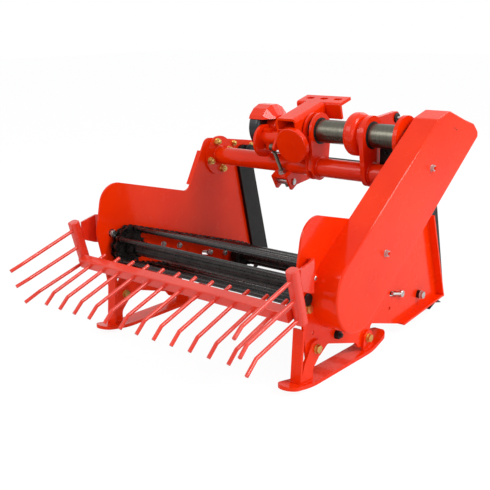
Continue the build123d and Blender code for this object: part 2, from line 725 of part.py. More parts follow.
def loop_places(count):
    """Evenly spaced places on the middle line of the chain."""
    a, b = Vector(*WEB_REAR), Vector(*WEB_FRONT)
    rear, front = WEB_REAR_R + CHAIN_THICK / 2, WEB_FRONT_R + CHAIN_THICK / 2
    span = (b - a).length
    heading = math.atan2(b.Y - a.Y, b.X - a.X)
    lean = math.acos((rear - front) / span)
    run = math.sqrt(span**2 - (rear - front) ** 2)
    wraps = (rear * (2 * math.pi - 2 * lean), front * 2 * lean)
    total = 2 * run + sum(wraps)
    places = []
    for i in range(count):
        s = i * total / count
        if s < run:  # upper run, from the rear to the front
            start = a + Vector(math.cos(heading + lean), math.sin(heading + lean)) * rear
            finish = b + Vector(math.cos(heading + lean), math.sin(heading + lean)) * front
            spot = start + (finish - start) * (s / run)
        elif s < run + wraps[1]:
            turn = heading + lean - (s - run) / front
            spot = b + Vector(math.cos(turn), math.sin(turn)) * front
        elif s < 2 * run + wraps[1]:
            start = b + Vector(math.cos(heading - lean), math.sin(heading - lean)) * front
            finish = a + Vector(math.cos(heading - lean), math.sin(heading - lean)) * rear
            spot = start + (finish - start) * ((s - run - wraps[1]) / run)
        else:
            turn = heading - lean - (s - 2 * run - wraps[1]) / rear
            spot = a + Vector(math.cos(turn), math.sin(turn)) * rear
        places.append((spot.X, spot.Y))
    return places


def web():
    low, high = CHAIN_X
    chain = loop_band(CHAIN_THICK, low, high) - loop_band(0, low - 1, high + 1)
    body = chain + mirror(chain, about=Plane.YZ)
    rods = [disc(place, ROD_D / 2, -low - 2, low + 2) for place in loop_places(ROD_COUNT)]
    return body + rods


def drive_shaft():
    body = disc(WEB_REAR, SHAFT_D / 2, -OUTER - BEARING_DEPTH, COVER_X + 12)
    for side in (-1, 1):
        near, far = sorted(side * x for x in SPROCKET_X)
        body += disc(WEB_REAR, WEB_REAR_R - SEAT, near, far)
        near, far = sorted(side * x for x in HUB_DISC_X)
        body += disc(WEB_REAR, HUB_DISC_D / 2, near, far)
    return body


def front_roller():
    body = disc(WEB_FRONT, ROLLER_SHAFT_D / 2, -OUTER - 8, OUTER + 8)
    for side in (-1, 1):
        near, far = sorted((side * CHAIN_X[0], side * CHAIN_X[1]))
        body += disc(WEB_FRONT, WEB_FRONT_R - SEAT, near, far)
    return body


def shaft_bearing():
    body = disc(WEB_REAR, BEARING_R, -OUTER - BEARING_DEPTH, -OUTER)
    return body - disc(WEB_REAR, SHAFT_D / 2 + SEAT, -OUTER - BEARING_DEPTH - 1, -OUTER + 1)


# ---- share and arms
def share():
    along = slope(SHARE_REAR, SHARE_TIP)
    ground = stepped(stepped(SHARE_TIP, -3 * SHARE_PLATE, along), -SHARE_PLATE, along + 90)
    rear_under = stepped(SHARE_REAR, -SHARE_PLATE, along + 90)
    rows = [(*SHARE_REAR, 0), (*rear_under, 0), (*ground, 0), (*SHARE_TIP, 0)]
    half = INNER - ARM_PLATE
    return plate(rows, -half, half)


def share_arm():
    along = slope(SHARE_REAR, SHARE_TIP)
    foot = stepped(SHARE_TIP, -ARM_SETBACK, along)
    top, low = Vector(*ARM_TOP), Vector(*foot)
    line = (low - top).normalized()
    side = Vector(-line.Y, line.X) * (ARM_WIDTH / 2)
    floor = stepped(foot, -SHARE_PLATE, along + 90)
    corners = [top + side, low + side, Vector(*floor) - side * 1.4, low - side * 1.2, top - side]
    rows = [(p.X, p.Y, 0) for p in corners]
    body = plate(rows, INNER - ARM_PLATE, INNER)
    body += disc(ARM_TOP, ARM_WIDTH / 2, INNER - ARM_PLATE, INNER)
    return body - block((0, OUTER + 50), (0, 1000), (-100, SHARE_TIP[1]))


def front_bar():
    return disc(FRONT_BAR, FRONT_BAR_D / 2, ARM_PLATE - INNER, INNER - ARM_PLATE)


# ---- skids
def skid_side():
    """Side view of the skid's sole."""
    rear, front = SKID_FLAT
    rows = [
        (SKID_HEEL[0], SKID_HEEL[1], 0),
        (rear, 0, 260),
        (front, 0, 130),
        (SKID_TOE[0], SKID_TOE[1], 0),
        (SKID_TOE[0] - 3, SKID_TOE[1] + SKID_PLATE, 0),
        (front - 1, SKID_PLATE, 120),
        (rear + 1, SKID_PLATE, 250),
        (SKID_HEEL[0] + 2, SKID_HEEL[1] + SKID_PLATE, 0),
    ]
    return Plane.YZ * outline(rows)


def skid():
    low, high = SKID_X
    body = extrude(Pos(low, 0, 0) * skid_side(), amount=high - low, dir=(1, 0, 0))
    middle = (low + high) / 2
    length = SKID_TOE[0] - SKID_HEEL[0]
    plan = SlotOverall(length, high - low)
    plan = Pos(middle, (SKID_TOE[0] + SKID_HEEL[0]) / 2, -20) * Rot(0, 0, 90) * plan
    body = body & extrude(plan, amount=80)
    lug = [
        (LUG_BOLT[0] - 1.3 * LUG_EDGE, SKID_PLATE / 2, 0),
        (LUG_BOLT[0] + 1.3 * LUG_EDGE, SKID_PLATE / 2, 0),
        (LUG_BOLT[0] + LUG_EDGE, LUG_BOLT[1] + LUG_EDGE, 0.9 * LUG_EDGE),
        (LUG_BOLT[0] - LUG_EDGE, LUG_BOLT[1] + LUG_EDGE, 0.9 * LUG_EDGE),
    ]
    body += plate(lug, OUTER, OUTER + STRAP)
    return body - disc(LUG_BOLT, STRAP_HOLE_D / 2, OUTER - 1, OUTER + STRAP + 1)


def skid_leg():
    foot_rear, foot_front = STRAP_BOLT[0] - 3 * LEG_EDGE, STRAP_BOLT[0] - 0.7 * LEG_EDGE
    rise = SKID_HEEL[1] * (SKID_FLAT[0] - foot_rear) / (SKID_FLAT[0] - SKID_HEEL[0])
    foot = (foot_rear, rise + SKID_PLATE / 2)
    rows = [(*foot, 0), (foot_front, SKID_PLATE / 2, 0)]
    rows += round_bolt(
        STRAP_BOLT,
        LEG_EDGE,
        [(-0.7, -2.1, 1), (1.1, -0.3, 0.6), (0.5, 1.05, 0.6), (-0.8, 0.9, 0.6), (-2.2, -1.1, 1)],
    )
    body = plate(rows, OUTER, OUTER + STRAP)
    body -= disc(STRAP_BOLT, STRAP_HOLE_D / 2, OUTER - 1, OUTER + STRAP + 1)
    top = (STRAP_BOLT[0] - 2.45 * LEG_EDGE, STRAP_BOLT[1] + 2.75 * LEG_EDGE)
    flange = plate(strip(top, foot, STRAP), OUTER + STRAP - LEG_FLANGE_WIDTH, OUTER + STRAP)
    return body + flange - extrude(skid_side(), amount=2 * OUTER, both=True)


def moved_inside(shape, bolt):
    """Left piece: mirrored, and set inside the side plate on a spacer at its bolt."""
    low, high = INNER - LEFT_SPACER, INNER
    spacer = disc(bolt, SPACER_D / 2, low, high) - disc(bolt, STRAP_HOLE_D / 2, low - 1, high + 1)
    return mirror(Pos(-LEFT_SHIFT, 0, 0) * shape + spacer, about=Plane.YZ)


# ---- rake
def tine(start, fall, straight, tip_fall, tip_length, outward):
    """Round tine from (x, y, z), falling to the rear, with a bent tip."""
    x, y, z = start
    bend_y, bend_z = stepped((y, z), straight, 180 + fall)
    end_y, end_z = stepped((bend_y, bend_z), tip_length, 180 + tip_fall)
    bend = (x, bend_y, bend_z)
    end = (x + outward, end_y, end_z)
    return rod(start, bend, TINE_D) + Pos(*bend) * Sphere(TINE_D / 2) + rod(bend, end, TINE_D)


def rake_bar():
    half = POST_X - POST_SIZE / 2
    size = RAKE_BAR_SIZE
    bar = Box(2 * half, size, size)
    bar = fillet(bar.edges().filter_by(Axis.X), 3)
    body = Pos(0, *RAKE_BAR) * Rot(RAKE_SLOPE, 0, 0) * bar
    front = stepped(RAKE_BAR, TINE_FRONT + size / 2, RAKE_SLOPE)
    for i in range(TINE_COUNT):
        x = (i - (TINE_COUNT - 1) / 2) * TINE_PITCH
        straight = TINE_FRONT + size + TINE_REAR - size / 2
        body += tine((x, *front), RAKE_SLOPE, straight, TIP_SLOPE, TIP_LENGTH, 0)
    return body


def rake_post():
    foot = (RAKE_BAR[0] + POST_OFFSET, RAKE_BAR[1])
    middle = stepped(foot, (POST_TOP + POST_BOTTOM) / 2, 90 + POST_LEAN)
    post = Box(POST_SIZE, POST_SIZE, POST_TOP - POST_BOTTOM)
    post = fillet(post.edges().filter_by(Axis.Z), 9)
    post = fillet(post.faces().sort_by(Axis.Z)[-1].edges(), 3)
    body = Pos(POST_X, *middle) * Rot(POST_LEAN, 0, 0) * post
    table = [  # height up the post, fall, straight length, tip's fall, tip length, outward bend
        (83, 17.5, 166, 23, 32, 7),
        (38, 16.5, 162, 23, 34, 9),
        (-7, 15.8, 146, 27, 43, 8),
    ]
    for height, fall, straight, tip_fall, tip_length, outward in table:
        place = stepped(foot, height, 90 + POST_LEAN)
        body += tine((POST_X, *place), fall, straight, tip_fall, tip_length, outward)
    body += rake_bracket()
    return body - disc(RAKE_PIVOT, PIVOT_BOLT_D / 2 + RUNNING, OUTER, POST_X)


def rake_bracket():
    """Bent plate from the post to the outside of the side plate."""
    near = OUTER + SIDE_GAP
    far = POST_X - BRACKET_LAP
    y, z = RAKE_PIVOT
    foot = BRACKET_FOOT / 2
    post_face = RAKE_BAR[0] + POST_OFFSET - BRACKET_PLATE
    slant = y - foot - BRACKET_SLANT
    step = BRACKET_PLATE * 0.6
    face = make_face(
        Polyline(
            (near, y + foot),
            (near, y - foot),
            (far, slant),
            (far, post_face),
            (far + BRACKET_PLATE, post_face + step),
            (far + BRACKET_PLATE, slant + step),
            (near + BRACKET_PLATE, y - foot + step),
            (near + BRACKET_PLATE, y + foot),
            close=True,
        )
    )
    sheet = extrude(face, amount=z + 2 * BRACKET_TOP)
    side = [
        (post_face - POST_SIZE, z + BRACKET_TOP * 0.65, 0),
        (y - 2 * foot, z + BRACKET_TOP, 6),
        (y + foot, z + BRACKET_TOP * 0.6, 10),
        (y + BRACKET_NOSE, z - BRACKET_NOSE / 2, 6),
        (y - BRACKET_NOSE, z - BRACKET_LOW, 8),
        (y - 3 * foot, z - BRACKET_LOW * 0.8, 10),
        (post_face - POST_SIZE / 2, z, 0),
    ]
    return sheet & plate(side, OUTER, POST_X + POST_SIZE)


def pivot_bolt():
    """Bolt that the rake turns on, from inside the plate to the bracket."""
    place = RAKE_PIVOT
    body = disc(place, PIVOT_BOLT_D / 2, INNER - 2, OUTER + SIDE_GAP + BRACKET_PLATE + 9)
    return body + disc(place, PIVOT_BOLT_D * 0.85, INNER - 8, INNER)


# ---- all nodes
def build():
    nodes = {}
    side_plates(nodes)
    nodes["cross_tube"] = cross_tube()
    nodes["centre_leg"] = centre_leg()
    nodes["lobe_plate"] = lobe_plate()
    nodes["stop_plate"] = stop_plate()
    nodes["guide_bushes"] = guide_bushes()
    nodes["guide_tube"] = guide_tube()
    nodes["collar_ring"] = collar_ring()
    nodes["end_disc"] = end_disc()
    nodes["chain_cover"] = chain_cover()
    nodes["cover_back"] = cover_back()
    nodes["hitch_bracket"] = hitch_bracket()
    nodes["hitch_housing"] = hitch_housing()
    nodes["hitch_angle"] = hitch_angle()
    nodes["input_neck"] = input_neck()
    nodes["pto_stub"] = pto_stub()
    nodes["pto_guard"] = pto_guard()
    nodes["guard_hood"] = guard_hood()
    nodes["adjusting_screw"] = adjusting_screw()
    nodes["clevis"] = clevis()
    nodes["clevis_trunnion"] = clevis_trunnion()
    nodes["web"] = web()
    nodes["drive_shaft"] = drive_shaft()
    nodes["front_roller"] = front_roller()
    nodes["shaft_bearing"] = shaft_bearing()
    nodes["share"] = share()
    both_sides(nodes, "share_arm", share_arm())
    nodes["front_bar"] = front_bar()
    nodes["skid_right"] = skid()
    nodes["skid_left"] = moved_inside(skid(), LUG_BOLT)
    nodes["skid_leg_right"] = skid_leg()
    nodes["skid_leg_left"] = moved_inside(skid_leg(), STRAP_BOLT)
    nodes["rake_bar"] = rake_bar()
    both_sides(nodes, "rake_post", rake_post())
    both_sides(nodes, "pivot_bolt", pivot_bolt())
    return nodes


def origin(nodes):
    """Bottom centre of the box round every node."""
    boxes = [shape.bounding_box() for shape in nodes.values()]
    x = (min(b.min.X for b in boxes) + max(b.max.X for b in boxes)) / 2
    y = (min(b.min.Y for b in boxes) + max(b.max.Y for b in boxes)) / 2
    return Vector(x, y, min(b.min.Z for b in boxes))


NODES = build()
ORIGIN = origin(NODES)
print("origin", [round(v, 4) for v in ORIGIN])
for name, shape in NODES.items():
    export_step(Pos(-ORIGIN) * shape, "parts/" + name + ".step")
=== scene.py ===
# %% [markdown]
# # A towed potato digger, dressed in Blender
# The construction model already holds every plate, tube, tine and rod at its true size.
# This lesson loads it as a fixed frame, looks at it from behind and to the right, gives each
# part the finish of the real machine, and adds the small things that a construction model
# leaves out: bolts, nuts, washers, threads, weld beads and chain links.
# %% Load the frame
import math

import bmesh
import bpy
from mathutils import Matrix, Vector


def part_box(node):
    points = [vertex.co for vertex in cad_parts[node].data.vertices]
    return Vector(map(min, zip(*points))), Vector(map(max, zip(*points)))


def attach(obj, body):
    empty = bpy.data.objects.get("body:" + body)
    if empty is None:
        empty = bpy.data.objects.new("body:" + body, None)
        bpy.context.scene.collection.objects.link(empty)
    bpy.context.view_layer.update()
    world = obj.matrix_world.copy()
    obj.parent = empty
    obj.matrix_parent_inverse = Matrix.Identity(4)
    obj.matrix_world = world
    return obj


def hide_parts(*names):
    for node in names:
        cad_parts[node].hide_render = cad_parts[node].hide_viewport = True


bpy.context.scene.view_settings.view_transform = "Standard"
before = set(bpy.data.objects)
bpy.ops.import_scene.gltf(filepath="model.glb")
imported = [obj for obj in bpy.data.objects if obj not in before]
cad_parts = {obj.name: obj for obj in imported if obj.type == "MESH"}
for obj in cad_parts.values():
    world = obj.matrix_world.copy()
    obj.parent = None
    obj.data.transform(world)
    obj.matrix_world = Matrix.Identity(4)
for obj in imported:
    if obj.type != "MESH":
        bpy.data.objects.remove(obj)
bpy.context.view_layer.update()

# %% [markdown]
# ## Where things are
# Places below are written in the machine's own drawing: x = 0 midway between the side plates,
# z = 0 under the skids, in millimetres. The cross tube is centred on the drawing's x = 0 and
# its axis has a known place in the side view, so one box is enough to tie the two frames.
# %% Tie the drawing to the frame
MM = 0.001
CROSS_TUBE_AXIS = (312.5, 377.5)


def middle(node):
    """Middle of a node's box."""
    low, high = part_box(node)
    return (Vector(low) + Vector(high)) / 2


tie = middle("cross_tube") - Vector((0, *CROSS_TUBE_AXIS)) * MM


def place(x, y, z):
    """A point of the drawing, in the frame."""
    return Vector((x, y, z)) * MM + tie


print("drawing origin in the frame:", [round(v, 4) for v in tie])

# %% [markdown]
# ## The camera
# The view is from behind and to the right, a little above the machine. A long lens keeps the
# lines of the plates nearly parallel. The camera's turn is built from three plain angles:
# heading, dip and a slight roll.
# %% Camera
HEADING, DIP, ROLL = 40.03, 15.575, -1.016
CAMERA_SPOT = (1226.28, -1394.01, 746.04)
SENSOR, LENS = 36.0, 60.14645  # mm
SHIFT_X, SHIFT_Y = 0.000163, 0.003286  # in widths of the view

camera_data = bpy.data.cameras.new("camera")
camera_data.sensor_width = SENSOR
camera_data.lens = LENS
camera_data.shift_x = SHIFT_X
camera_data.shift_y = SHIFT_Y
camera = bpy.data.objects.new("camera", camera_data)
bpy.context.scene.collection.objects.link(camera)
turn = Matrix.Rotation(math.radians(HEADING), 4, "Z")
turn = turn @ Matrix.Rotation(math.radians(90 - DIP), 4, "X")
turn = turn @ Matrix.Rotation(math.radians(ROLL), 4, "Z")
camera.matrix_world = Matrix.Translation(place(*CAMERA_SPOT)) @ turn
bpy.context.scene.camera = camera
print("lens", round(camera_data.lens, 1), "mm")

# %% [markdown]
# ## Floor and light
# A plain pale floor under a white world, with four soft lamps: a main one from behind the left
# rear corner, a strong one on the cover, a weak fill and one from in front. The world shows white
# to the camera and in reflections, and lights the object at a lower level, so that the paint
# keeps its colour.
# %% World and floor
world = bpy.data.worlds.new("tent")
bpy.context.scene.world = world
world.use_nodes = True
wires = world.node_tree
wires.nodes.clear()


def add_node(tree, kind, settings=None, **links):
    """Adds one node, sets its properties and input values, and links inputs to outputs."""
    node = tree.nodes.new(kind)
    for key, value in (settings or {}).items():
        if isinstance(key, int) or key in node.inputs:
            node.inputs[key].default_value = value
        else:
            setattr(node, key, value)
    for key, output in links.items():
        number = key[1:]
        socket = node.inputs[int(number) if number.isdigit() else key.replace("_", " ")]
        tree.links.new(output, socket)
    return node


def linear(code):
    """sRGB hex colour as linear RGBA."""
    channels = [int(code[i : i + 2], 16) / 255 for i in (1, 3, 5)]
    low = [c / 12.92 if c <= 0.04045 else ((c + 0.055) / 1.055) ** 2.4 for c in channels]
    return (*low, 1.0)


WHITE = linear("#FFFFFF")
TENT_LEVEL = 0.6
path = add_node(wires, "ShaderNodeLightPath")
direct = add_node(
    wires, "ShaderNodeMath", {"operation": "MAXIMUM"},
    _0=path.outputs["Is Camera Ray"], _1=path.outputs["Is Transmission Ray"],
)
seen = add_node(
    wires, "ShaderNodeMath", {"operation": "MAXIMUM"},
    _0=direct.outputs[0], _1=path.outputs["Is Glossy Ray"],
)
lit = add_node(wires, "ShaderNodeBackground", {"Color": linear("#F4F6F8"), "Strength": TENT_LEVEL})
white = add_node(wires, "ShaderNodeBackground", {"Color": WHITE, "Strength": 1.0})
blend = add_node(
    wires, "ShaderNodeMixShader",
    _0=seen.outputs[0], _1=lit.outputs[0], _2=white.outputs[0],
)
add_node(wires, "ShaderNodeOutputWorld", _0=blend.outputs[0])

FLOOR_SIZE = 14.0
floor_mesh = bpy.data.meshes.new("floor")
shape = bmesh.new()
bmesh.ops.create_grid(shape, x_segments=1, y_segments=1, size=FLOOR_SIZE)
shape.to_mesh(floor_mesh)
shape.free()
floor = bpy.data.objects.new("floor", floor_mesh)
bpy.context.scene.collection.objects.link(floor)

paper = bpy.data.materials.new("white_paper_floor")
paper.use_nodes = True
wires = paper.node_tree
wires.nodes.clear()
path = add_node(wires, "ShaderNodeLightPath")
matt = add_node(wires, "ShaderNodeBsdfDiffuse", {"Color": linear("#F2F2F2")})
PAPER_GLOW, GLOW_LEVEL = 0.89, 1.05  # how much of the paper glows to the camera, and how brightly
glow = add_node(wires, "ShaderNodeEmission", {"Color": WHITE, "Strength": GLOW_LEVEL})
seen = add_node(
    wires, "ShaderNodeMath", {"operation": "MULTIPLY", 1: PAPER_GLOW},
    _0=path.outputs["Is Camera Ray"],
)
both = add_node(
    wires, "ShaderNodeMixShader",
    _0=seen.outputs[0], _1=matt.outputs[0], _2=glow.outputs[0],
)
add_node(wires, "ShaderNodeOutputMaterial", _0=both.outputs[0])
floor_mesh.materials.append(paper)
print("floor", FLOOR_SIZE * 2, "m wide")

# %% Soft lamps
LAMPS = (  # name, place in mm, size in m, power in W, aim in mm
    ("key", (-1100, -2300, 2100), 1.7, 26, (0, 150, 250)),
    ("edge", (2105, 726, 2199), 1.2, 40, (300, 150, 300)),
    ("fill", (2300, -1500, 900), 1.5, 10, (0, 150, 250)),
    ("rim", (200, 2300, 1900), 1.6, 12, (0, 200, 300)),
)
for name, spot, size, power, aim in LAMPS:
    lamp_data = bpy.data.lights.new(name, "AREA")
    lamp_data.shape = "DISK"
    lamp_data.size = size
    lamp_data.energy = power
    lamp = bpy.data.objects.new(name, lamp_data)
    bpy.context.scene.collection.objects.link(lamp)
    away = (place(*spot) - place(*aim)).to_track_quat("Z", "Y").to_matrix().to_4x4()
    lamp.matrix_world = Matrix.Translation(place(*spot)) @ away
print(len(LAMPS), "lamps")

# %% [markdown]
# ## Finishes
# Each finish is one short function that starts a material with a Principled shader and then adds
# the pattern that its making leaves. Patterns read Object coordinates, which are metres here,
# so a scale is simply one over the size of the grain in metres.
# %% A helper that starts a finish
COAT_ROUGHNESS = 0.06


def start_finish(name, colour, roughness, metallic=0.0, coat=0.0, gloss=0.5):
    """Starts a Principled material; returns it, its tree, its shader and its coordinates."""
    material = bpy.data.materials.new(name)
    material.use_nodes = True
    tree = material.node_tree
    tree.nodes.clear()
    shader = add_node(
        tree, "ShaderNodeBsdfPrincipled",
        {"Base Color": linear(colour), "Roughness": roughness, "Metallic": metallic,
         "Coat Weight": coat, "Coat Roughness": COAT_ROUGHNESS, "Specular IOR Level": gloss},
    )
    add_node(tree, "ShaderNodeOutputMaterial", _0=shader.outputs[0])
    where = add_node(tree, "ShaderNodeTexCoord")
    return material, tree, shader, where.outputs["Object"]


def blotches(tree, where, grain_mm, low, high, detail=3.0, stretch=None):
    """A noise of a real grain size, stretched between two values."""
    if stretch:
        where = add_node(tree, "ShaderNodeMapping", {"Scale": stretch}, _0=where).outputs[0]
    noise = add_node(
        tree, "ShaderNodeTexNoise", {"Scale": 1 / (grain_mm * MM), "Detail": detail}, _0=where
    )
    span = add_node(
        tree, "ShaderNodeMapRange",
        {"From Min": 0.3, "From Max": 0.7, "To Min": low, "To Max": high},
        _0=noise.outputs[0],
    )
    return span.outputs[0]


def tint(tree, shader, factor, dark, light):
    """Colours the surface between two colours by a factor."""
    mix = add_node(
        tree, "ShaderNodeMix", {"data_type": "RGBA", 6: linear(dark), 7: linear(light)}
    )
    tree.links.new(factor, mix.inputs[0])
    tree.links.new(mix.outputs[2], shader.inputs["Base Color"])
    return mix


def relief(tree, shader, height, depth_mm, strength):
    """Bumps the surface by a height pattern."""
    bump = add_node(tree, "ShaderNodeBump", {"Distance": depth_mm * MM, "Strength": strength})
    tree.links.new(height, bump.inputs["Height"])
    tree.links.new(bump.outputs[0], shader.inputs["Normal"])
    return bump


# %% [markdown]
# ### Powder-coated sheet
# The frame is mild steel plate with an orange-red powder coat, baked to a high gloss. Powder
# flows out with a slight orange peel of about 4 mm, and thins a little over large sheets.
# Powder also builds up round a sheared edge, which is why each edge catches a thin light.
# %% Powder coat
PEEL_MM, PEEL_DEPTH = 4.0, 0.05
DUST_MM, THIN_MM = 30.0, 140.0
EDGE_MM = 0.9


def powder_coat(name, dark, light, roughness=0.22, gloss=0.08, coat=0.4):
    """Powder coat between two reds, with orange peel, dust and soft bright edges."""
    material, tree, shader, where = start_finish(name, light, roughness, coat=coat, gloss=gloss)
    wide = blotches(tree, where, THIN_MM, 0.0, 1.0, detail=2.0)
    tint(tree, shader, wide, dark, light)
    dust = blotches(tree, where, DUST_MM, roughness - 0.05, roughness + 0.08)
    tree.links.new(dust, shader.inputs["Roughness"])
    peel = blotches(tree, where, PEEL_MM, 0.0, 1.0, detail=1.0)
    bump = relief(tree, shader, peel, PEEL_DEPTH, 0.35)
    edge = add_node(tree, "ShaderNodeBevel", {"samples": 4, "Radius": EDGE_MM * MM})
    tree.links.new(edge.outputs[0], bump.inputs["Normal"])
    return material


red_sheet = powder_coat("powder_coated_steel_sheet", "#E82A00", "#F43400", coat=0.25)
red_forging = powder_coat("powder_coated_welded_steel", "#E42600", "#F03000")
red_rod = powder_coat("powder_coated_round_rod", "#DA2C16", "#E8381E", gloss=0.4)

# %% [markdown]
# ### Ground and polished tube
# The guide tube is bright drawn steel, ground round. Grinding leaves fine rings across the
# tube, and handling leaves faint stains of oil. Zinc plate and oiled thread are bare metal
# too, with an even grain, so the same function makes them.
# %% Bright steel
GRIND_MM = 1.2  # far finer on the real tube, drawn as coarse as it needs to show
STAIN_MM = 25.0
EVEN_GRAIN = (1, 1, 1)


def bright_steel(name, dark, light, roughness, grain=(1.0, 0.05, 0.05)):
    """Bare metal; the default grain runs in rings round an axis that lies across the machine."""
    material, tree, shader, where = start_finish(name, light, roughness, metallic=1.0)
    rings = blotches(tree, where, GRIND_MM, 0.0, 1.0, stretch=grain)
    tint(tree, shader, rings, dark, light)
    stains = blotches(tree, where, STAIN_MM, roughness - 0.06, roughness + 0.1)
    tree.links.new(stains, shader.inputs["Roughness"])
    return material


ground_tube = bright_steel("ground_steel_tube", "#58564C", "#706E64", 0.3)
bright_zinc = bright_steel("bright_zinc_plate", "#A8A8A6", "#D0D0CC", 0.3, EVEN_GRAIN)
plain_thread = bright_steel("oiled_plain_steel_thread", "#4A443C", "#787064", 0.38, EVEN_GRAIN)
yellow_zinc = bright_steel("yellow_chromate_zinc", "#B89040", "#E0C078", 0.34, EVEN_GRAIN)

# %% [markdown]
# ### Oily black steel
# The web's chains and rods, the shaft and the share arms are black: hot-rolled steel, oiled
# chain and black paint. They are satin, with greasy patches that shine more.
# %% Black steel
GRIME_MM, GREASE_MM, SCALE_MM = 18.0, 9.0, 1.5


def black_steel(name, dark, light, roughness, metallic=0.4, gloss=0.4):
    """Black steel with grime, grease and a fine mill scale."""
    material, tree, shader, where = start_finish(name, light, roughness, metallic, gloss=gloss)
    grime = blotches(tree, where, GRIME_MM, 0.0, 1.0)
    tint(tree, shader, grime, dark, light)
    grease = blotches(tree, where, GREASE_MM, roughness - 0.12, roughness + 0.14)
    tree.links.new(grease, shader.inputs["Roughness"])
    scale = blotches(tree, where, SCALE_MM, 0.0, 1.0)
    relief(tree, shader, scale, 0.08, 0.4)
    return material


oiled_chain = black_steel("oiled_roller_chain", "#070606", "#181614", 0.24, 0.2, 0.6)
black_rod = black_steel("black_rolled_rod", "#0E0D0C", "#2A2725", 0.3)
black_bar = black_steel("black_painted_flat_bar", "#0C0A0A", "#161312", 0.42, 0.0, 0.25)

# %% [markdown]
# ### Moulded plastic and rubber
# The guard round the drive stub is blow-moulded black polyethylene with a soft sheen; the
# bushes that the guide tube turns in are black moulded rubber.
# %% Plastic and rubber
FLOW_MM = 20.0


def moulded(name, dark, light, roughness, grain_mm):
    """Moulded black plastic or rubber with the grain of its mould."""
    material, tree, shader, where = start_finish(name, light, roughness)
    flow = blotches(tree, where, FLOW_MM, 0.0, 1.0)
    tint(tree, shader, flow, dark, light)
    grain = blotches(tree, where, grain_mm, 0.0, 1.0)
    relief(tree, shader, grain, 0.04, 0.3)
    return material


guard_plastic = moulded("moulded_black_polyethylene", "#0C0E12", "#1A1E24", 0.28, 1.0)
bush_rubber = moulded("moulded_black_rubber", "#121212", "#1E1E1E", 0.6, 0.8)

# %% [markdown]
# ### Which node has which finish
# Every solid of the construction model gets one of these finishes. Sheet and welded parts have
# slightly different reds, because thick welded parts take the powder more unevenly.
# %% Give every construction node its finish
FINISHES = {
    red_sheet: (
        "side_plate_left", "side_plate_right", "chain_cover", "cover_back", "hitch_bracket",
        "hitch_angle", "skid_left", "skid_right", "skid_leg_left", "skid_leg_right", "end_disc",
    ),
    red_forging: (
        "cross_tube", "centre_leg", "lobe_plate", "collar_ring", "hitch_housing", "input_neck",
        "guard_hood", "clevis",
    ),
    red_rod: ("rake_bar", "rake_post_left", "rake_post_right"),
    ground_tube: ("guide_tube", "pto_stub"),
    bright_zinc: ("adjusting_screw", "clevis_trunnion"),
    yellow_zinc: ("pivot_bolt_left", "pivot_bolt_right"),
    oiled_chain: ("web",),
    black_rod: ("drive_shaft", "front_roller", "shaft_bearing"),
    black_bar: ("share", "share_arm_left", "share_arm_right", "front_bar", "stop_plate"),
    guard_plastic: ("pto_guard",),
    bush_rubber: ("guide_bushes",),
}
for finish, names in FINISHES.items():
    for name in names:
        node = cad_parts[name]
        for slot in node.material_slots:
            slot.material = finish
        if not node.material_slots:
            node.data.materials.append(finish)
print(sum(len(names) for names in FINISHES.values()), "nodes named in the finishes")

# %% [markdown]
# ## Tools for turned, sawn and welded pieces
# Nearly every small part here is turned in a lathe, so one helper spins a profile round an
# axis. A pattern is made once at the origin and then stamped wherever the machine repeats it,
# so that a whole chain needs only two kinds of link. Adding a cylinder for each would be
# quicker to write, but a turned profile gives chamfers, grooves and threads in the same step.
# %% Lathe, pattern and stamp
TURN_STEPS = 24


def lathe(rows, steps=TURN_STEPS):
    """A turned shape about Z from rows of (radius, height) in millimetres."""
    shape = bmesh.new()
    points = [shape.verts.new((radius * MM, 0, height * MM)) for radius, height in rows]
    edges = [shape.edges.new(pair) for pair in zip(points, points[1:])]
    bmesh.ops.spin(
        shape, geom=points + edges, cent=(0, 0, 0), axis=(0, 0, 1), dvec=(0, 0, 0),
        angle=math.tau, steps=steps, use_merge=True, use_duplicate=False,
    )
    bmesh.ops.remove_doubles(shape, verts=shape.verts, dist=0.01 * MM)
    bmesh.ops.recalc_face_normals(shape, faces=shape.faces)
    return shape


def pattern(*shapes):
    """One mesh from several shapes, kept to be stamped."""
    whole = bpy.data.meshes.new("pattern")
    joined = bmesh.new()
    for shape in shapes:
        part = bpy.data.meshes.new("part")
        shape.to_mesh(part)
        shape.free()
        joined.from_mesh(part)
        bpy.data.meshes.remove(part)
    joined.to_mesh(whole)
    joined.free()
    return whole


def stamp(shape, whole, matrix):
    """Adds a copy of a pattern to a shape, in its place."""
    count = len(shape.verts)
    shape.from_mesh(whole)
    shape.verts.ensure_lookup_table()
    bmesh.ops.transform(shape, matrix=matrix, verts=shape.verts[count:])


# %% Places to stamp at
def facing(x, y, z, side=1, turn=0.0):
    """A place whose Z points across the machine: right for 1, left for -1."""
    roll = Matrix.Rotation(math.radians(turn), 4, "Z")
    tip = Matrix.Rotation(math.radians(90 * side), 4, "Y")
    return Matrix.Translation(place(x, y, z)) @ tip @ roll


def along(start, finish):
    """A place at start whose Z points to finish."""
    line = place(*finish) - place(*start)
    return Matrix.Translation(place(*start)) @ line.to_track_quat("Z", "Y").to_matrix().to_4x4()


def stepped(spot, distance, angle):
    """Place in the side view at a distance, at an angle up from forward."""
    turn = math.radians(angle)
    return (spot[0] + distance * math.cos(turn), spot[1] + distance * math.sin(turn))


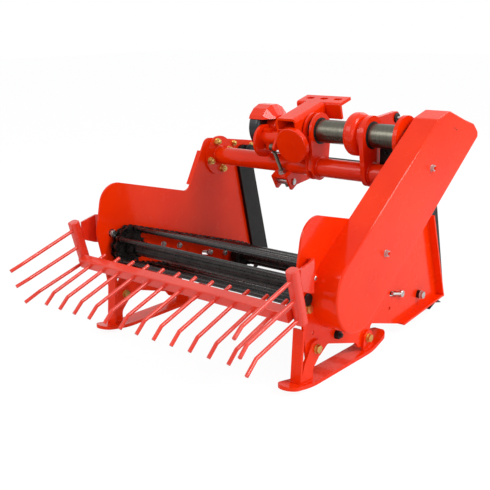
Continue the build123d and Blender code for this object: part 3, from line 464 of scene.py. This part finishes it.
# %% Turn a shape into a piece
def piece(shape, name, body, finish, crease=35):
    """Makes the shape an object that rides on a body, and says how large it came out."""
    mesh = bpy.data.meshes.new(name)
    shape.to_mesh(mesh)
    shape.free()
    mesh.shade_smooth()
    mesh.set_sharp_from_angle(angle=math.radians(crease))
    mesh.materials.append(finish)
    item = bpy.data.objects.new(name, mesh)
    bpy.context.scene.collection.objects.link(item)
    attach(item, body)
    mesh.calc_loop_triangles()
    print(f"{name}: {len(mesh.loop_triangles)} triangles")
    return item


# %% [markdown]
# ## Bolts, nuts and washers
# The plates are bolted with M10 and M8 steel fasteners, some in bright zinc and some in yellow
# chromate. A nut is a length of hexagon bar with its rim chamfered, so a six-sided cone with a
# bevelled rim is enough. The end of the bolt stands out of the nut by a few turns of thread.
# Sizes are those of M10, and the smaller fasteners are the same shapes scaled down.
# %% Fastener patterns
M10_FLATS, M8_FLATS, M6_FLATS = 17, 13, 10  # across the flats
HEAD_HIGH, NUT_HIGH, WASHER_HIGH, WASHER_D = 6.4, 8.0, 2.0, 21  # of M10
WASHER_SEAT = 1.8  # a head starts just inside its washer, so no gap shows
COARSE_PITCH = 1.5


def hexagon(across_flats, height, chamfer):
    """A length of hexagon bar that stands on z = 0, with its top rim chamfered."""
    shape = bmesh.new()
    radius = across_flats / math.sqrt(3) * MM
    bmesh.ops.create_cone(
        shape, cap_ends=True, segments=6, radius1=radius, radius2=radius, depth=height * MM,
        matrix=Matrix.Translation((0, 0, height / 2 * MM)),
    )
    rim = [edge for edge in shape.edges if min(v.co.z for v in edge.verts) > height * 0.9 * MM]
    bmesh.ops.bevel(
        shape, geom=rim, offset=chamfer * MM, segments=2, profile=0.5, affect="EDGES", material=-1
    )
    return shape


def thread_rows(diameter, start, finish, pitch):
    """Lathe rows of a thread, its ridges drawn as rings."""
    count = max(1, round((finish - start) / pitch))
    step = (finish - start) / count
    crest, root = diameter / 2, diameter / 2 - 0.55 * pitch
    rows = []
    for i in range(count):
        rows += [(root, start + i * step), (crest, start + (i + 0.5) * step)]
    return rows + [(root, finish)]


def washer(size):
    """A plain washer with its top rim rounded off."""
    radius, thick = WASHER_D / 2 * size, WASHER_HIGH * size
    return lathe([(0, 0), (radius, 0), (radius, thick - 0.3), (radius - 0.4, thick), (0, thick)])


def on_washer(across_flats, height):
    """A hexagon that stands on a washer; returns both, and its size as a share of M10."""
    size = across_flats / M10_FLATS
    shape = hexagon(across_flats, height * size, 1.0 * size)
    bmesh.ops.translate(shape, verts=shape.verts, vec=(0, 0, WASHER_SEAT * size * MM))
    return washer(size), shape, size


def bolt_head(across_flats):
    """Washer and hexagon head."""
    ring, head, _ = on_washer(across_flats, HEAD_HIGH)
    return pattern(ring, head)


def nut_end(across_flats, reach=5.0):
    """Washer, nut, and the end of the bolt."""
    ring, nut, size = on_washer(across_flats, NUT_HIGH)
    rows = [(0, 0)] + thread_rows(10 * size, 2, 10 * size + reach, COARSE_PITCH)
    top = rows[-1][1] + 0.4
    return pattern(ring, nut, lathe(rows + [(0, top)], 16))


HEAD_M10, HEAD_M8 = bolt_head(M10_FLATS), bolt_head(M8_FLATS)
NUT_M10, NUT_M8 = nut_end(M10_FLATS), nut_end(M8_FLATS, 3.0)
print("fastener patterns:", len(HEAD_M10.polygons), len(NUT_M10.polygons), "faces")

# %% [markdown]
# Each row says which pattern, where, and which way it faces. The inside faces of the side plates
# lie at 300 mm from the middle and their outside faces at 305 mm. The cross tube's end flanges
# are 6 mm thick, and so are the straps of the skids.
# %% Where the fasteners sit on the frame
INNER, OUTER = 300.0, 305.0
FLANGE = 6.0
TUBE_BOLTS = [stepped(CROSS_TUBE_AXIS, 40.0, angle) for angle in (15, 105, 195, 285)]
STRAP_BOLT, LUG_BOLT = (-75.0, 75.0), (131.0, 34.0)
LEFT_LEG_X = -281.0
STRAP_OUTSIDE = OUTER + FLANGE
COVER_FACE = 368.0
COVER_STUDS = ((296, 410), (100, 253))
ROLLER_AXLE, ROLLER_BOSS = (375, 72), 8
SPARE_BOLTS = ((380, 403), (458, 388))
SHAFT_BOLT = (-100, 170)
RAKE_PIVOT = (-92.0, 236.0)
AXLE_BOLTS = ((83.0, 168.5), (143.0, 152.0), (267.0, 104.0), (330.0, 88.0))
bright_rows = [(HEAD_M8, side * INNER, *spot, -side) for spot in AXLE_BOLTS for side in (-1, 1)]
bright_rows += [(NUT_M8, -OUTER, *spot, -1) for spot in AXLE_BOLTS]
bright_rows += [
    (HEAD_M10, side * (OUTER + ROLLER_BOSS), *ROLLER_AXLE, side) for side in (-1, 1)
]
bright_rows += [(NUT_M8, COVER_FACE, *spot, 1) for spot in COVER_STUDS]
yellow_rows = [(NUT_M10, -INNER + FLANGE, *spot, 1) for spot in TUBE_BOLTS]
yellow_rows += [(NUT_M10, INNER - FLANGE, *spot, -1) for spot in TUBE_BOLTS]
yellow_rows += [(HEAD_M10, -OUTER, *spot, -1) for spot in TUBE_BOLTS]
yellow_rows += [(NUT_M8, -INNER, *spot, 1) for spot in SPARE_BOLTS]
yellow_rows += [(HEAD_M8, -OUTER, *spot, -1) for spot in SPARE_BOLTS]
SKID_ROWS = (  # pattern, x, side: each is on the strap and then on the lug
    (HEAD_M10, STRAP_OUTSIDE, 1), (NUT_M10, INNER, -1),
    (HEAD_M10, LEFT_LEG_X, 1), (NUT_M10, -OUTER, -1),
)
for kind, x, side in SKID_ROWS:
    yellow_rows += [(kind, x, *spot, side) for spot in (STRAP_BOLT, LUG_BOLT)]
yellow_rows += [(HEAD_M10, side * OUTER, *SHAFT_BOLT, side) for side in (1, -1)]


def fasteners(rows):
    """One shape from all rows; each hexagon is turned a little further than the one before."""
    shape = bmesh.new()
    for i, (kind, x, y, z, side) in enumerate(rows):
        stamp(shape, kind, facing(x, y, z, side, turn=23.0 * i))
    return shape


piece(fasteners(bright_rows), "bright_zinc_fasteners", "frame", bright_zinc)
piece(fasteners(yellow_rows), "yellow_chromate_fasteners", "frame", yellow_zinc)

# %% [markdown]
# ### The bolts that the rake turns on
# The rake hangs on one M10 bolt a side, with a dark washer under its head and a painted nut. The
# bolt is turned as one profile and takes the place of the plain pin of the construction model.
# %% Rake pivot bolts
BRACKET_FACE = OUTER + FLANGE
GRIP = BRACKET_FACE - INNER
SHANK_END = 20.0
for side, name in ((1, "right"), (-1, "left")):
    shank = [(0, -8), (5, -8), (5, GRIP)]
    shank += thread_rows(10, GRIP + 0.1, SHANK_END, COARSE_PITCH) + [(0, SHANK_END + 0.4)]
    head = hexagon(M10_FLATS, HEAD_HIGH, 1)
    bmesh.ops.transform(head, matrix=Matrix.Rotation(math.pi, 4, "X"), verts=head.verts)
    bolt = bmesh.new()
    stamp(bolt, pattern(lathe(shank, 16), head), facing(side * INNER, *RAKE_PIVOT, side))
    item = piece(bolt, "rake_pivot_bolt_" + name, "frame", bright_zinc)
    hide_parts("pivot_bolt_" + name)
painted_nuts, dark_washers = bmesh.new(), bmesh.new()
ring = pattern(lathe([(5.4, 0), (10.5, 0), (10.5, 1.2), (5.4, 1.2), (5.4, 0)]))
nut = pattern(hexagon(M10_FLATS, 7, 1))
for side in (-1, 1):
    stamp(painted_nuts, nut, facing(side * (BRACKET_FACE + 0.3), *RAKE_PIVOT, side))
    stamp(dark_washers, ring, facing(side * (INNER + 0.2), *RAKE_PIVOT, -side))
piece(painted_nuts, "rake_pivot_nuts", "frame", red_forging)
piece(dark_washers, "rake_pivot_washers", "frame", black_rod)

# %% [markdown]
# ## The web: two roller chains joined by rods
# The web is a conveyor of steel rods between two endless roller chains of about 19 mm pitch. A
# chain is a row of roller links and pin links: two plates inside, two plates outside, a roller
# on each pin. Each kind of link is built once, as a hull round two short cylinders with a
# waist, and stamped sixty times round the loop, each link lying on the chord between its pins.
# %% The loop that the chains run on
LOOP_REAR, LOOP_FRONT = Vector((-54.0, 197.0)), Vector((375.0, 72.0))
REAR_R, FRONT_R = 46.0, 34.0
LINKS = 60
CHAIN_X = 281.0


def loop_spots(count):
    """Evenly spaced pins round the two wheels, as (y, z), upper run first."""
    line = LOOP_FRONT - LOOP_REAR
    heading = math.atan2(line.y, line.x)
    lean = math.acos((REAR_R - FRONT_R) / line.length)
    run = math.sqrt(line.length**2 - (REAR_R - FRONT_R) ** 2)
    front_wrap = FRONT_R * 2 * lean
    total = 2 * run + front_wrap + REAR_R * (math.tau - 2 * lean)

    def on_wheel(centre, radius, angle):
        return centre + Vector((math.cos(angle), math.sin(angle))) * radius

    wheels = ((LOOP_REAR, REAR_R), (LOOP_FRONT, FRONT_R))
    spots = []
    for i in range(count):
        s = i * total / count
        if s < run:
            rear, front = (on_wheel(*wheel, heading + lean) for wheel in wheels)
            spots.append(rear.lerp(front, s / run))
        elif s < run + front_wrap:
            spots.append(on_wheel(LOOP_FRONT, FRONT_R, heading + lean - (s - run) / FRONT_R))
        elif s < 2 * run + front_wrap:
            rear, front = (on_wheel(*wheel, heading - lean) for wheel in wheels)
            spots.append(front.lerp(rear, (s - run - front_wrap) / run))
        else:
            turn = (s - 2 * run - front_wrap) / REAR_R
            spots.append(on_wheel(LOOP_REAR, REAR_R, heading - lean - turn))
    print("loop", round(total), "mm, pitch", round(total / count, 2), "mm")
    return spots


pins = loop_spots(LINKS)
PITCH = (pins[1] - pins[0]).length

# %% Link patterns
PLATE_R, PLATE_T, WAIST = 9.0, 2.2, 0.68
INNER_PLATE, OUTER_PLATE = 6.4, 8.7  # from the chain's middle


def link_plate(offset):
    """A waisted plate from pin to pin along X, its middle plane moved across by an offset."""
    shape = bmesh.new()
    upright = Matrix.Rotation(math.pi / 2, 4, "X")
    for along_x in (0, PITCH):
        bmesh.ops.create_cone(
            shape, cap_ends=True, segments=12, radius1=PLATE_R * MM, radius2=PLATE_R * MM,
            depth=PLATE_T * MM,
            matrix=Matrix.Translation((along_x * MM, offset * MM, 0)) @ upright,
        )
    hull = bmesh.ops.convex_hull(shape, input=shape.verts)
    inside = {e for key in ("geom_interior", "geom_unused") for e in hull[key]}
    inside = [e for e in inside if isinstance(e, bmesh.types.BMVert)]
    bmesh.ops.delete(shape, geom=inside, context="VERTS")
    bmesh.ops.dissolve_limit(shape, angle_limit=0.02, verts=shape.verts, edges=shape.edges)
    cut = bmesh.ops.bisect_plane(
        shape, geom=shape.verts[:] + shape.edges[:] + shape.faces[:],
        plane_co=(PITCH / 2 * MM, 0, 0), plane_no=(1, 0, 0),
    )
    waist = [e for e in cut["geom_cut"] if isinstance(e, bmesh.types.BMVert)]
    bmesh.ops.scale(shape, vec=(1, 1, WAIST), verts=waist)
    bmesh.ops.recalc_face_normals(shape, faces=shape.faces)
    return shape


def across(shape):
    """Turns a lathed shape so that its axis lies along Y."""
    bmesh.ops.transform(shape, matrix=Matrix.Rotation(-math.pi / 2, 4, "X"), verts=shape.verts)
    return shape


ROLLER_ROWS = [(0, -5.1), (4.6, -5.1), (5.9, -4.6), (5.9, 4.6), (4.6, 5.1), (0, 5.1)]
PIN_ROWS = [(0, -11.2), (2.6, -11.2), (3.0, -10.6), (3.0, 10.6), (2.6, 11.2), (0, 11.2)]
roller_link = pattern(
    link_plate(-INNER_PLATE), link_plate(INNER_PLATE), across(lathe(ROLLER_ROWS, 12))
)
pin_link = pattern(
    link_plate(-OUTER_PLATE), link_plate(OUTER_PLATE),
    across(lathe(ROLLER_ROWS, 12)), across(lathe(PIN_ROWS, 8)),
)
print("a roller link has", len(roller_link.polygons), "faces")


# %% Stamp the chains
def on_chord(x, here, there):
    """A place at one pin whose X points to the next, with Y across the machine."""
    forward = Vector((0, *(there - here))).normalized()
    sideways = Vector((-1, 0, 0))
    turn = Matrix((forward, sideways, forward.cross(sideways))).transposed().to_4x4()
    return Matrix.Translation(place(x, *here)) @ turn


web_shape = bmesh.new()
for x in (-CHAIN_X, CHAIN_X):
    for i, here in enumerate(pins):
        kind = pin_link if i % 2 else roller_link
        stamp(web_shape, kind, on_chord(x, here, pins[(i + 1) % LINKS]))

# %% [markdown]
# The rods are 11 mm bars that pass through every third pin of both chains. Their ends are turned
# down, go through a collar, and are riveted over outside the chain. Long rods on a working web
# are never quite straight, so each is bowed by a millimetre or so, each its own way.
# %% The rods
ROD_EVERY = 3
ROD_BOW = 1.6
HALF_ROD = [(5.5, 60 * i) for i in range(5)]
HALF_ROD += [(5.5, 262), (7.6, 262.6), (7.6, 268.6), (4.4, 269)]  # collar
HALF_ROD += [(4.4, 291.4), (6.6, 291.4), (6.2, 293), (3, 293.8), (0, 293.8)]  # riveted end
rod_rows = [(r, -h) for r, h in reversed(HALF_ROD[1:])] + HALF_ROD
one_rod = pattern(lathe(rod_rows, 12))
for i, here in enumerate(pins[::ROD_EVERY]):
    count = len(web_shape.verts)
    stamp(web_shape, one_rod, facing(0, *here, 1, turn=77.0 * i))
    web_shape.verts.ensure_lookup_table()
    bow = ROD_BOW * math.sin(2.4 * i)
    for vertex in web_shape.verts[count:]:
        offset = (vertex.co.x - tie.x) / MM / CHAIN_X
        vertex.co.z += bow * MM * max(0.0, 1 - offset**2)
web_piece = piece(web_shape, "web_of_rods_and_chains", "frame", oiled_chain)
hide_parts("web")

# %% [markdown]
# ### The sprockets that drive the web
# A sprocket is flame-cut from plate with fifteen teeth, and each roller sits in the round gap
# between two. A ring with six corners for each tooth is turned, and then its outer corners are
# drawn in or out to a gap, a flank and a tip.
# %% Sprocket teeth
TEETH = 15
TOOTH = (40.2, 41.6, 46.6, 50.4, 46.6, 41.6)  # radii of the corners, from gap to gap
RIM_MM, BORE_MM = 45.0, 37.0
teeth_shape = bmesh.new()
first = pins[-3] - LOOP_REAR
start_turn = math.atan2(first.y, first.x)
profile = [(BORE_MM, -4), (RIM_MM, -4), (RIM_MM, 4), (BORE_MM, 4), (BORE_MM, -4)]
sprocket = lathe(profile, TEETH * len(TOOTH))
for vertex in sprocket.verts:
    if vertex.co.xy.length > 0.95 * RIM_MM * MM:
        step = round(math.atan2(vertex.co.y, vertex.co.x) / math.tau * TEETH * len(TOOTH))
        vertex.co.xy *= TOOTH[step % len(TOOTH)] / RIM_MM
sprocket = pattern(sprocket)
for x in (-CHAIN_X, CHAIN_X):
    # lathe X axis lies along the machine's -Z, so the gap is turned from there to the first pin
    stamp(teeth_shape, sprocket, facing(x, *LOOP_REAR, 1, turn=math.degrees(start_turn) + 90))
piece(teeth_shape, "web_sprockets", "frame", black_rod)

# %% [markdown]
# ## The threaded adjusting screw
# The screw that sets the tilt of the hitch head is a length of M10 threaded rod with a forged
# eye. A real thread is one long helix. At this size rings give the same look for far fewer
# faces. The nut that locks it at the clevis stays with the frame while the rod slides.
# %% Adjusting screw
SCREW_X, SCREW_SLOPE = -54.0, -60.3
TUBE_R, SCREW_R, SCREW_ROOM = 48.3 / 2, 5, 3
BESIDE = stepped(CROSS_TUBE_AXIS, TUBE_R + SCREW_ROOM + SCREW_R, SCREW_SLOPE - 90)
SCREW_EYE = stepped(BESIDE, -77.0, SCREW_SLOPE)
CLEVIS_TOP = stepped(BESIDE, 5.8, SCREW_SLOPE)
SCREW_END = stepped(CLEVIS_TOP, 46.0, SCREW_SLOPE)
length = math.dist(SCREW_EYE, SCREW_END)
rows = [(0, 6), (4.4, 6), (4.4, 16)]
rows += thread_rows(2 * SCREW_R, 16.2, length - 0.5, COARSE_PITCH) + [(0, length)]
screw_shape = bmesh.new()
stamp(screw_shape, pattern(lathe(rows, 16)), along((SCREW_X, *SCREW_EYE), (SCREW_X, *SCREW_END)))
eye = lathe([(4.3, -5.5), (8.2, -5.5), (9, -4.7), (9, 4.7), (8.2, 5.5), (4.3, 5.5), (4.3, -5.5)])
stamp(screw_shape, pattern(eye), facing(SCREW_X, *SCREW_EYE))
screw_piece = piece(screw_shape, "threaded_adjusting_screw", "screw", plain_thread)
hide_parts("adjusting_screw")

# %% The lock nut, its washer and the heads of the clevis pin
lock_shape = bmesh.new()
up = stepped(CLEVIS_TOP, -0.4, SCREW_SLOPE)
open_washer = lathe([(5.6, 0), (10.5, 0), (10.5, 1.8), (5.6, 1.8), (5.6, 0)])
lock_nut = hexagon(M10_FLATS, NUT_HIGH, 1)
bmesh.ops.translate(lock_nut, verts=lock_nut.verts, vec=(0, 0, WASHER_SEAT * MM))
stamp(lock_shape, pattern(open_washer, lock_nut), along((SCREW_X, *up), (SCREW_X, *SCREW_EYE)))
pin_head = pattern(lathe([(0, 0), (8, 0), (8.6, 0.8), (8.6, 2.4), (7, 3.4), (0, 3.4)]))
pin_spot, PIN_HALF = stepped(CLEVIS_TOP, 27.0, SCREW_SLOPE), 26.2
for side in (-1, 1):
    stamp(lock_shape, pin_head, facing(SCREW_X + side * PIN_HALF, *pin_spot, side))
piece(lock_shape, "screw_lock_nut_and_pin_heads", "frame", bright_zinc)

# %% [markdown]
# ## Round details of the guide tube
# A polished hub joins the guide tube to the right plate, and the lobe plate's eye holds a rubber
# roundel with a bright pin. All three are turned, so each is one table of lathe rows.
# %% Hub, roundel and pin
GUIDE = (CROSS_TUBE_AXIS[0], CROSS_TUBE_AXIS[1] + 92.5)
LOBE_EYE = (GUIDE[0] + 110.0, GUIDE[1] + 31.0)
LOBE_FACE, HUB_FACE = 201.0, INNER - 6.8
HUB_ROWS = [(22.4, 0), (24, 0.5), (24, 10.5), (22.4, 11.6), (22.4, 0)]
ROUNDEL_ROWS = [(4, -1), (11.4, -1), (12.4, 0.4), (12.4, 3), (11, 4.6), (4, 4.6), (4, -1)]
EYE_PIN_ROWS = [(0, -16), (3.6, -16), (4, -15.4), (4, 8.4), (3.4, 9.4), (0, 9.6)]
hub, roundel, eye_pin = bmesh.new(), bmesh.new(), bmesh.new()
stamp(hub, pattern(lathe(HUB_ROWS, 48)), facing(HUB_FACE, *GUIDE))
piece(hub, "polished_guide_hub", "frame", ground_tube)
stamp(roundel, pattern(lathe(ROUNDEL_ROWS)), facing(LOBE_FACE, *LOBE_EYE))
piece(roundel, "lobe_eye_roundel", "frame", bush_rubber)
stamp(eye_pin, pattern(lathe(EYE_PIN_ROWS, 20)), facing(LOBE_FACE, *LOBE_EYE))
piece(eye_pin, "lobe_eye_pin", "frame", bright_zinc)

# %% [markdown]
# ## Weld beads
# A hand-laid bead is a row of overlapping ripples about 2.6 mm apart. Round a tube it is a ring
# made by spinning a small circle, with every other ring of corners drawn in. Along a seam it is
# a turned rod with the same ripple. Both are painted with what they join.
# %% Weld bead patterns
RIPPLE_MM, RIPPLE_IN = 2.6, 0.8  # length of a ripple, and the bead's size between two


def weld_ring(radius, bead):
    """A rippled ring about Z."""
    shape = bmesh.new()
    steps = 2 * max(6, round(math.tau * radius / RIPPLE_MM / 2))
    ring = bmesh.ops.create_circle(
        shape, segments=8, radius=bead * MM,
        matrix=Matrix.Translation((radius * MM, 0, 0)) @ Matrix.Rotation(math.pi / 2, 4, "X"),
    )["verts"]
    edges = list({edge for vertex in ring for edge in vertex.link_edges})
    bmesh.ops.spin(
        shape, geom=ring + edges, cent=(0, 0, 0), axis=(0, 0, 1), dvec=(0, 0, 0),
        angle=math.tau, steps=steps, use_merge=True, use_duplicate=False,
    )
    for vertex in shape.verts:
        turn = math.atan2(vertex.co.y, vertex.co.x)
        if round(turn / math.tau * steps) % 2:
            centre = Vector((math.cos(turn), math.sin(turn), 0)) * radius * MM
            vertex.co = centre.lerp(vertex.co, RIPPLE_IN)
    bmesh.ops.recalc_face_normals(shape, faces=shape.faces)
    return pattern(shape)


def weld_line(length, bead):
    """A rippled bead along Z."""
    count = max(2, round(length / RIPPLE_MM))
    step = length / count
    rows = [(0, 0)]
    for i in range(count):
        rows += [(bead * 0.78, (i + 0.1) * step), (bead, (i + 0.5) * step)]
    return pattern(lathe(rows + [(0, length)], 8))


def weld_seam(shape, start, finish, bead):
    """Lays a bead from one place of the drawing to another."""
    stamp(shape, weld_line(math.dist(start, finish), bead), along(start, finish))


# %% Welds of the frame
frame_welds = bmesh.new()
tube_ring = weld_ring(24.6, 3.2)
TUBE_WELDS = (24.8, 51.2, 187.8, 202.2, -292.8, 292.8)  # both sides of each plate on the tube
for x in TUBE_WELDS:
    stamp(frame_welds, tube_ring, facing(x, *CROSS_TUBE_AXIS))
SKID_X, ARM_X = (311.5, -280.5), (288.5, -288.5)
SEAMS = (  # x of the two sides, start, finish, bead
    (SKID_X, (-135, 12.5), (-92, 9.5), 2.4),  # straps on skids
    (SKID_X, (110, 8.6), (152, 11.0), 2.4),  # lugs on skids
    (ARM_X, (437, 65), (500, 25.5), 3.0),  # arms on the share
)
for sides, start, finish, bead in SEAMS:
    for x in sides:
        weld_seam(frame_welds, (x, *start), (x, *finish), bead)
piece(frame_welds, "frame_welds", "frame", red_forging, crease=60)

# %% Welds of the rake
RAKE_BAR, RAKE_SLOPE = (-174.0, 180.0), 18.6
POST_FOOT = (RAKE_BAR[0] + 14.0, RAKE_BAR[1])
POST_X, POST_LEAN = 329.0, 14.7
TINES, TINE_PITCH = 12, 50.7
SIDE_TINES = (83, 38, -7)  # height up the post
BAR_FACE, AHEAD = 12.6, 10.0  # from the bar's middle to its skin, and on to a point further out
rake_welds = bmesh.new()
tine_ring = weld_ring(4.6, 1.7)


def weld_tine(x, centre, angle, face=BAR_FACE):
    """A ring where a tine comes out of a bar, face millimetres from the bar's middle."""
    start = stepped(centre, face, angle)
    finish = stepped(centre, face + math.copysign(AHEAD, face), angle)
    stamp(rake_welds, tine_ring, along((x, *start), (x, *finish)))


for i in range(TINES):
    for face in (-BAR_FACE, BAR_FACE):
        weld_tine((i - (TINES - 1) / 2) * TINE_PITCH, RAKE_BAR, RAKE_SLOPE, face)
for side in (-1, 1):
    for height in SIDE_TINES:
        centre = stepped(POST_FOOT, height, 90 + POST_LEAN)
        weld_tine(side * POST_X, centre, 180 + POST_LEAN)
piece(rake_welds, "rake_welds", "rake", red_rod, crease=60)

# %% Welds of the hitch head
HEAD_TILT = 14.5


def on_head(forward, up):
    """Place in the side view of a point drawn level on the head."""
    turn = math.radians(HEAD_TILT)
    y = GUIDE[0] + forward * math.cos(turn) - up * math.sin(turn)
    return (y, GUIDE[1] + forward * math.sin(turn) + up * math.cos(turn))


head_welds = bmesh.new()
HEAD_RINGS = (  # radius, bead, x, place in the side view
    (24.4, 2.8, -43, GUIDE),
    (24.4, 2.4, -79.4, GUIDE),
    (17.8, 2.4, -43, on_head(-47, -10)),
)
for radius, bead, x, spot in HEAD_RINGS:
    stamp(head_welds, weld_ring(radius, bead), facing(x, *spot))
HEAD_BEAD = 2.2
HEAD_SEAMS = (  # start and finish, each as x, forward, up
    ((-40, 70, 48), (20, 70, 48)),
    ((-36, -60.5, 20), (16, -60.5, 20)),
    ((-36.5, -60, -44), (-36.5, -60, 18)),
    ((16.5, -60, -44), (16.5, -60, 18)),
)
for seam in HEAD_SEAMS:
    start, finish = ((x, *on_head(forward, up)) for x, forward, up in seam)
    weld_seam(head_welds, start, finish, HEAD_BEAD)
piece(head_welds, "head_welds", "head", red_forging, crease=60)

# %% [markdown]
# ## The folded seam of the chain cover
# The cover is folded from sheet, and its rear wall meets the outer face in a pressed flat seam
# nearly 4 mm wide. It is a bevelled bar that lies over the rounded edge and faces half way
# between the two walls, so it catches a long line of light. Two small drain holes near the top
# of the outer face are painted shade: thin black discs laid on the face, with no hole cut.
# %% Cover seam and the painted shade of two drain holes
COVER_LOW, COVER_ANGLE, COVER_HALF = (0.0, 190.0), 34.6, 87.5
EDGE_ROUND = 4.0
SEAM_LENGTH, SEAM_WIDTH, SEAM_THICK = 444.0, 3.8, 1.2
seam_shape = bmesh.new()
bmesh.ops.create_cube(seam_shape, size=1.0)
seam_size = Vector((SEAM_LENGTH, SEAM_WIDTH, SEAM_THICK)) * MM
bmesh.ops.scale(seam_shape, vec=seam_size, verts=seam_shape.verts)
bmesh.ops.bevel(
    seam_shape, geom=seam_shape.edges[:], offset=0.5 * MM, segments=3, profile=0.5,
    affect="EDGES", material=-1,
)
lean = math.radians(COVER_ANGLE)
cover_line = Vector((0, math.cos(lean), math.sin(lean)))
wall_normal = Vector((0, -math.sin(lean), math.cos(lean)))
seam_normal = (wall_normal + Vector((1, 0, 0))).normalized()
turn = Matrix((cover_line, seam_normal.cross(cover_line), seam_normal)).transposed().to_4x4()
centre = Vector((COVER_FACE - EDGE_ROUND, *COVER_LOW))
centre += cover_line * SEAM_LENGTH / 2 + wall_normal * (COVER_HALF - EDGE_ROUND)
centre += seam_normal * (EDGE_ROUND - 0.1)
seam_spot = Matrix.Translation(place(*centre)) @ turn
bmesh.ops.transform(seam_shape, matrix=seam_spot, verts=seam_shape.verts)
piece(seam_shape, "cover_seam", "frame", red_sheet)
drain_hole_shade = bmesh.new()
DRAIN_SPOTS = ((404, 489), (414, 484))
# painted shade: each drain hole is a black disc 0.2 mm thick on the cover, dark like the inside of
# a hole
painted_hole_shade = pattern(lathe([(0, 0), (1.9, 0), (1.9, 0.2), (0, 0.2)]))
for spot in DRAIN_SPOTS:
    stamp(drain_hole_shade, painted_hole_shade, facing(COVER_FACE, *spot))
# the black rubber finish here is painted shade, standing in for the dark inside of the holes
piece(drain_hole_shade, "cover_drain_holes_painted_shade", "frame", bush_rubber)

# %% [markdown]
# ## Small black fittings
# The stop plate has two M6 screws, the front bar a turned boss at each arm, and each side plate
# a black nut and a rest pad for the rake. A threaded stud in a round boss draws the web tight
# along a slot.
# %% Black fittings
black_fittings = bmesh.new()
screw_head = bolt_head(M6_FLATS)
STOP_SCREWS = (222, 238)
for x in STOP_SCREWS:
    stamp(black_fittings, screw_head, along((x, 336.9, 426), (x, 326.0, 426)))
BOSS_ROWS = [(9.2, 0), (21, 0), (21, 6), (19.6, 7.4), (12, 7.4), (10, 10), (9.2, 10), (9.2, 0)]
front_boss = pattern(lathe(BOSS_ROWS, 32))
rest_pad = pattern(lathe([(0, 0), (14, 0), (14, 2.6), (12.6, 4), (0, 4)]))
SIDE_FITTINGS = (  # pattern, x, y, z, outwards or inwards
    (front_boss, 290, 435, 372, -1),
    (NUT_M10, OUTER, 8, 80, 1),
    (rest_pad, OUTER, -102, 190, 1),
)
for side in (-1, 1):
    for kind, x, y, z, way in SIDE_FITTINGS:
        stamp(black_fittings, kind, facing(side * x, y, z, side * way))
piece(black_fittings, "black_fittings", "frame", black_bar)

# %% Web tensioners
tensioners = bmesh.new()
STUD_ROOT, STUD_TIP, STUD_OUT = (280, 100), (236, 111.7), 5
boss = pattern(lathe([(0, 0), (8.5, 0), (8.5, 9), (7.6, 10), (5, 10), (4.4, 9), (0, 9)]))
stud = pattern(lathe([(0, 0)] + thread_rows(8, 0.2, 45, 1.25) + [(0, 45.4)], 14))
for side in (-1, 1):
    x = side * (OUTER + STUD_OUT)
    stamp(tensioners, boss, facing(side * OUTER, *STUD_ROOT, side))
    stamp(tensioners, stud, along((x, *STUD_ROOT), (x, *STUD_TIP)))
piece(tensioners, "web_tensioners", "frame", bright_zinc)
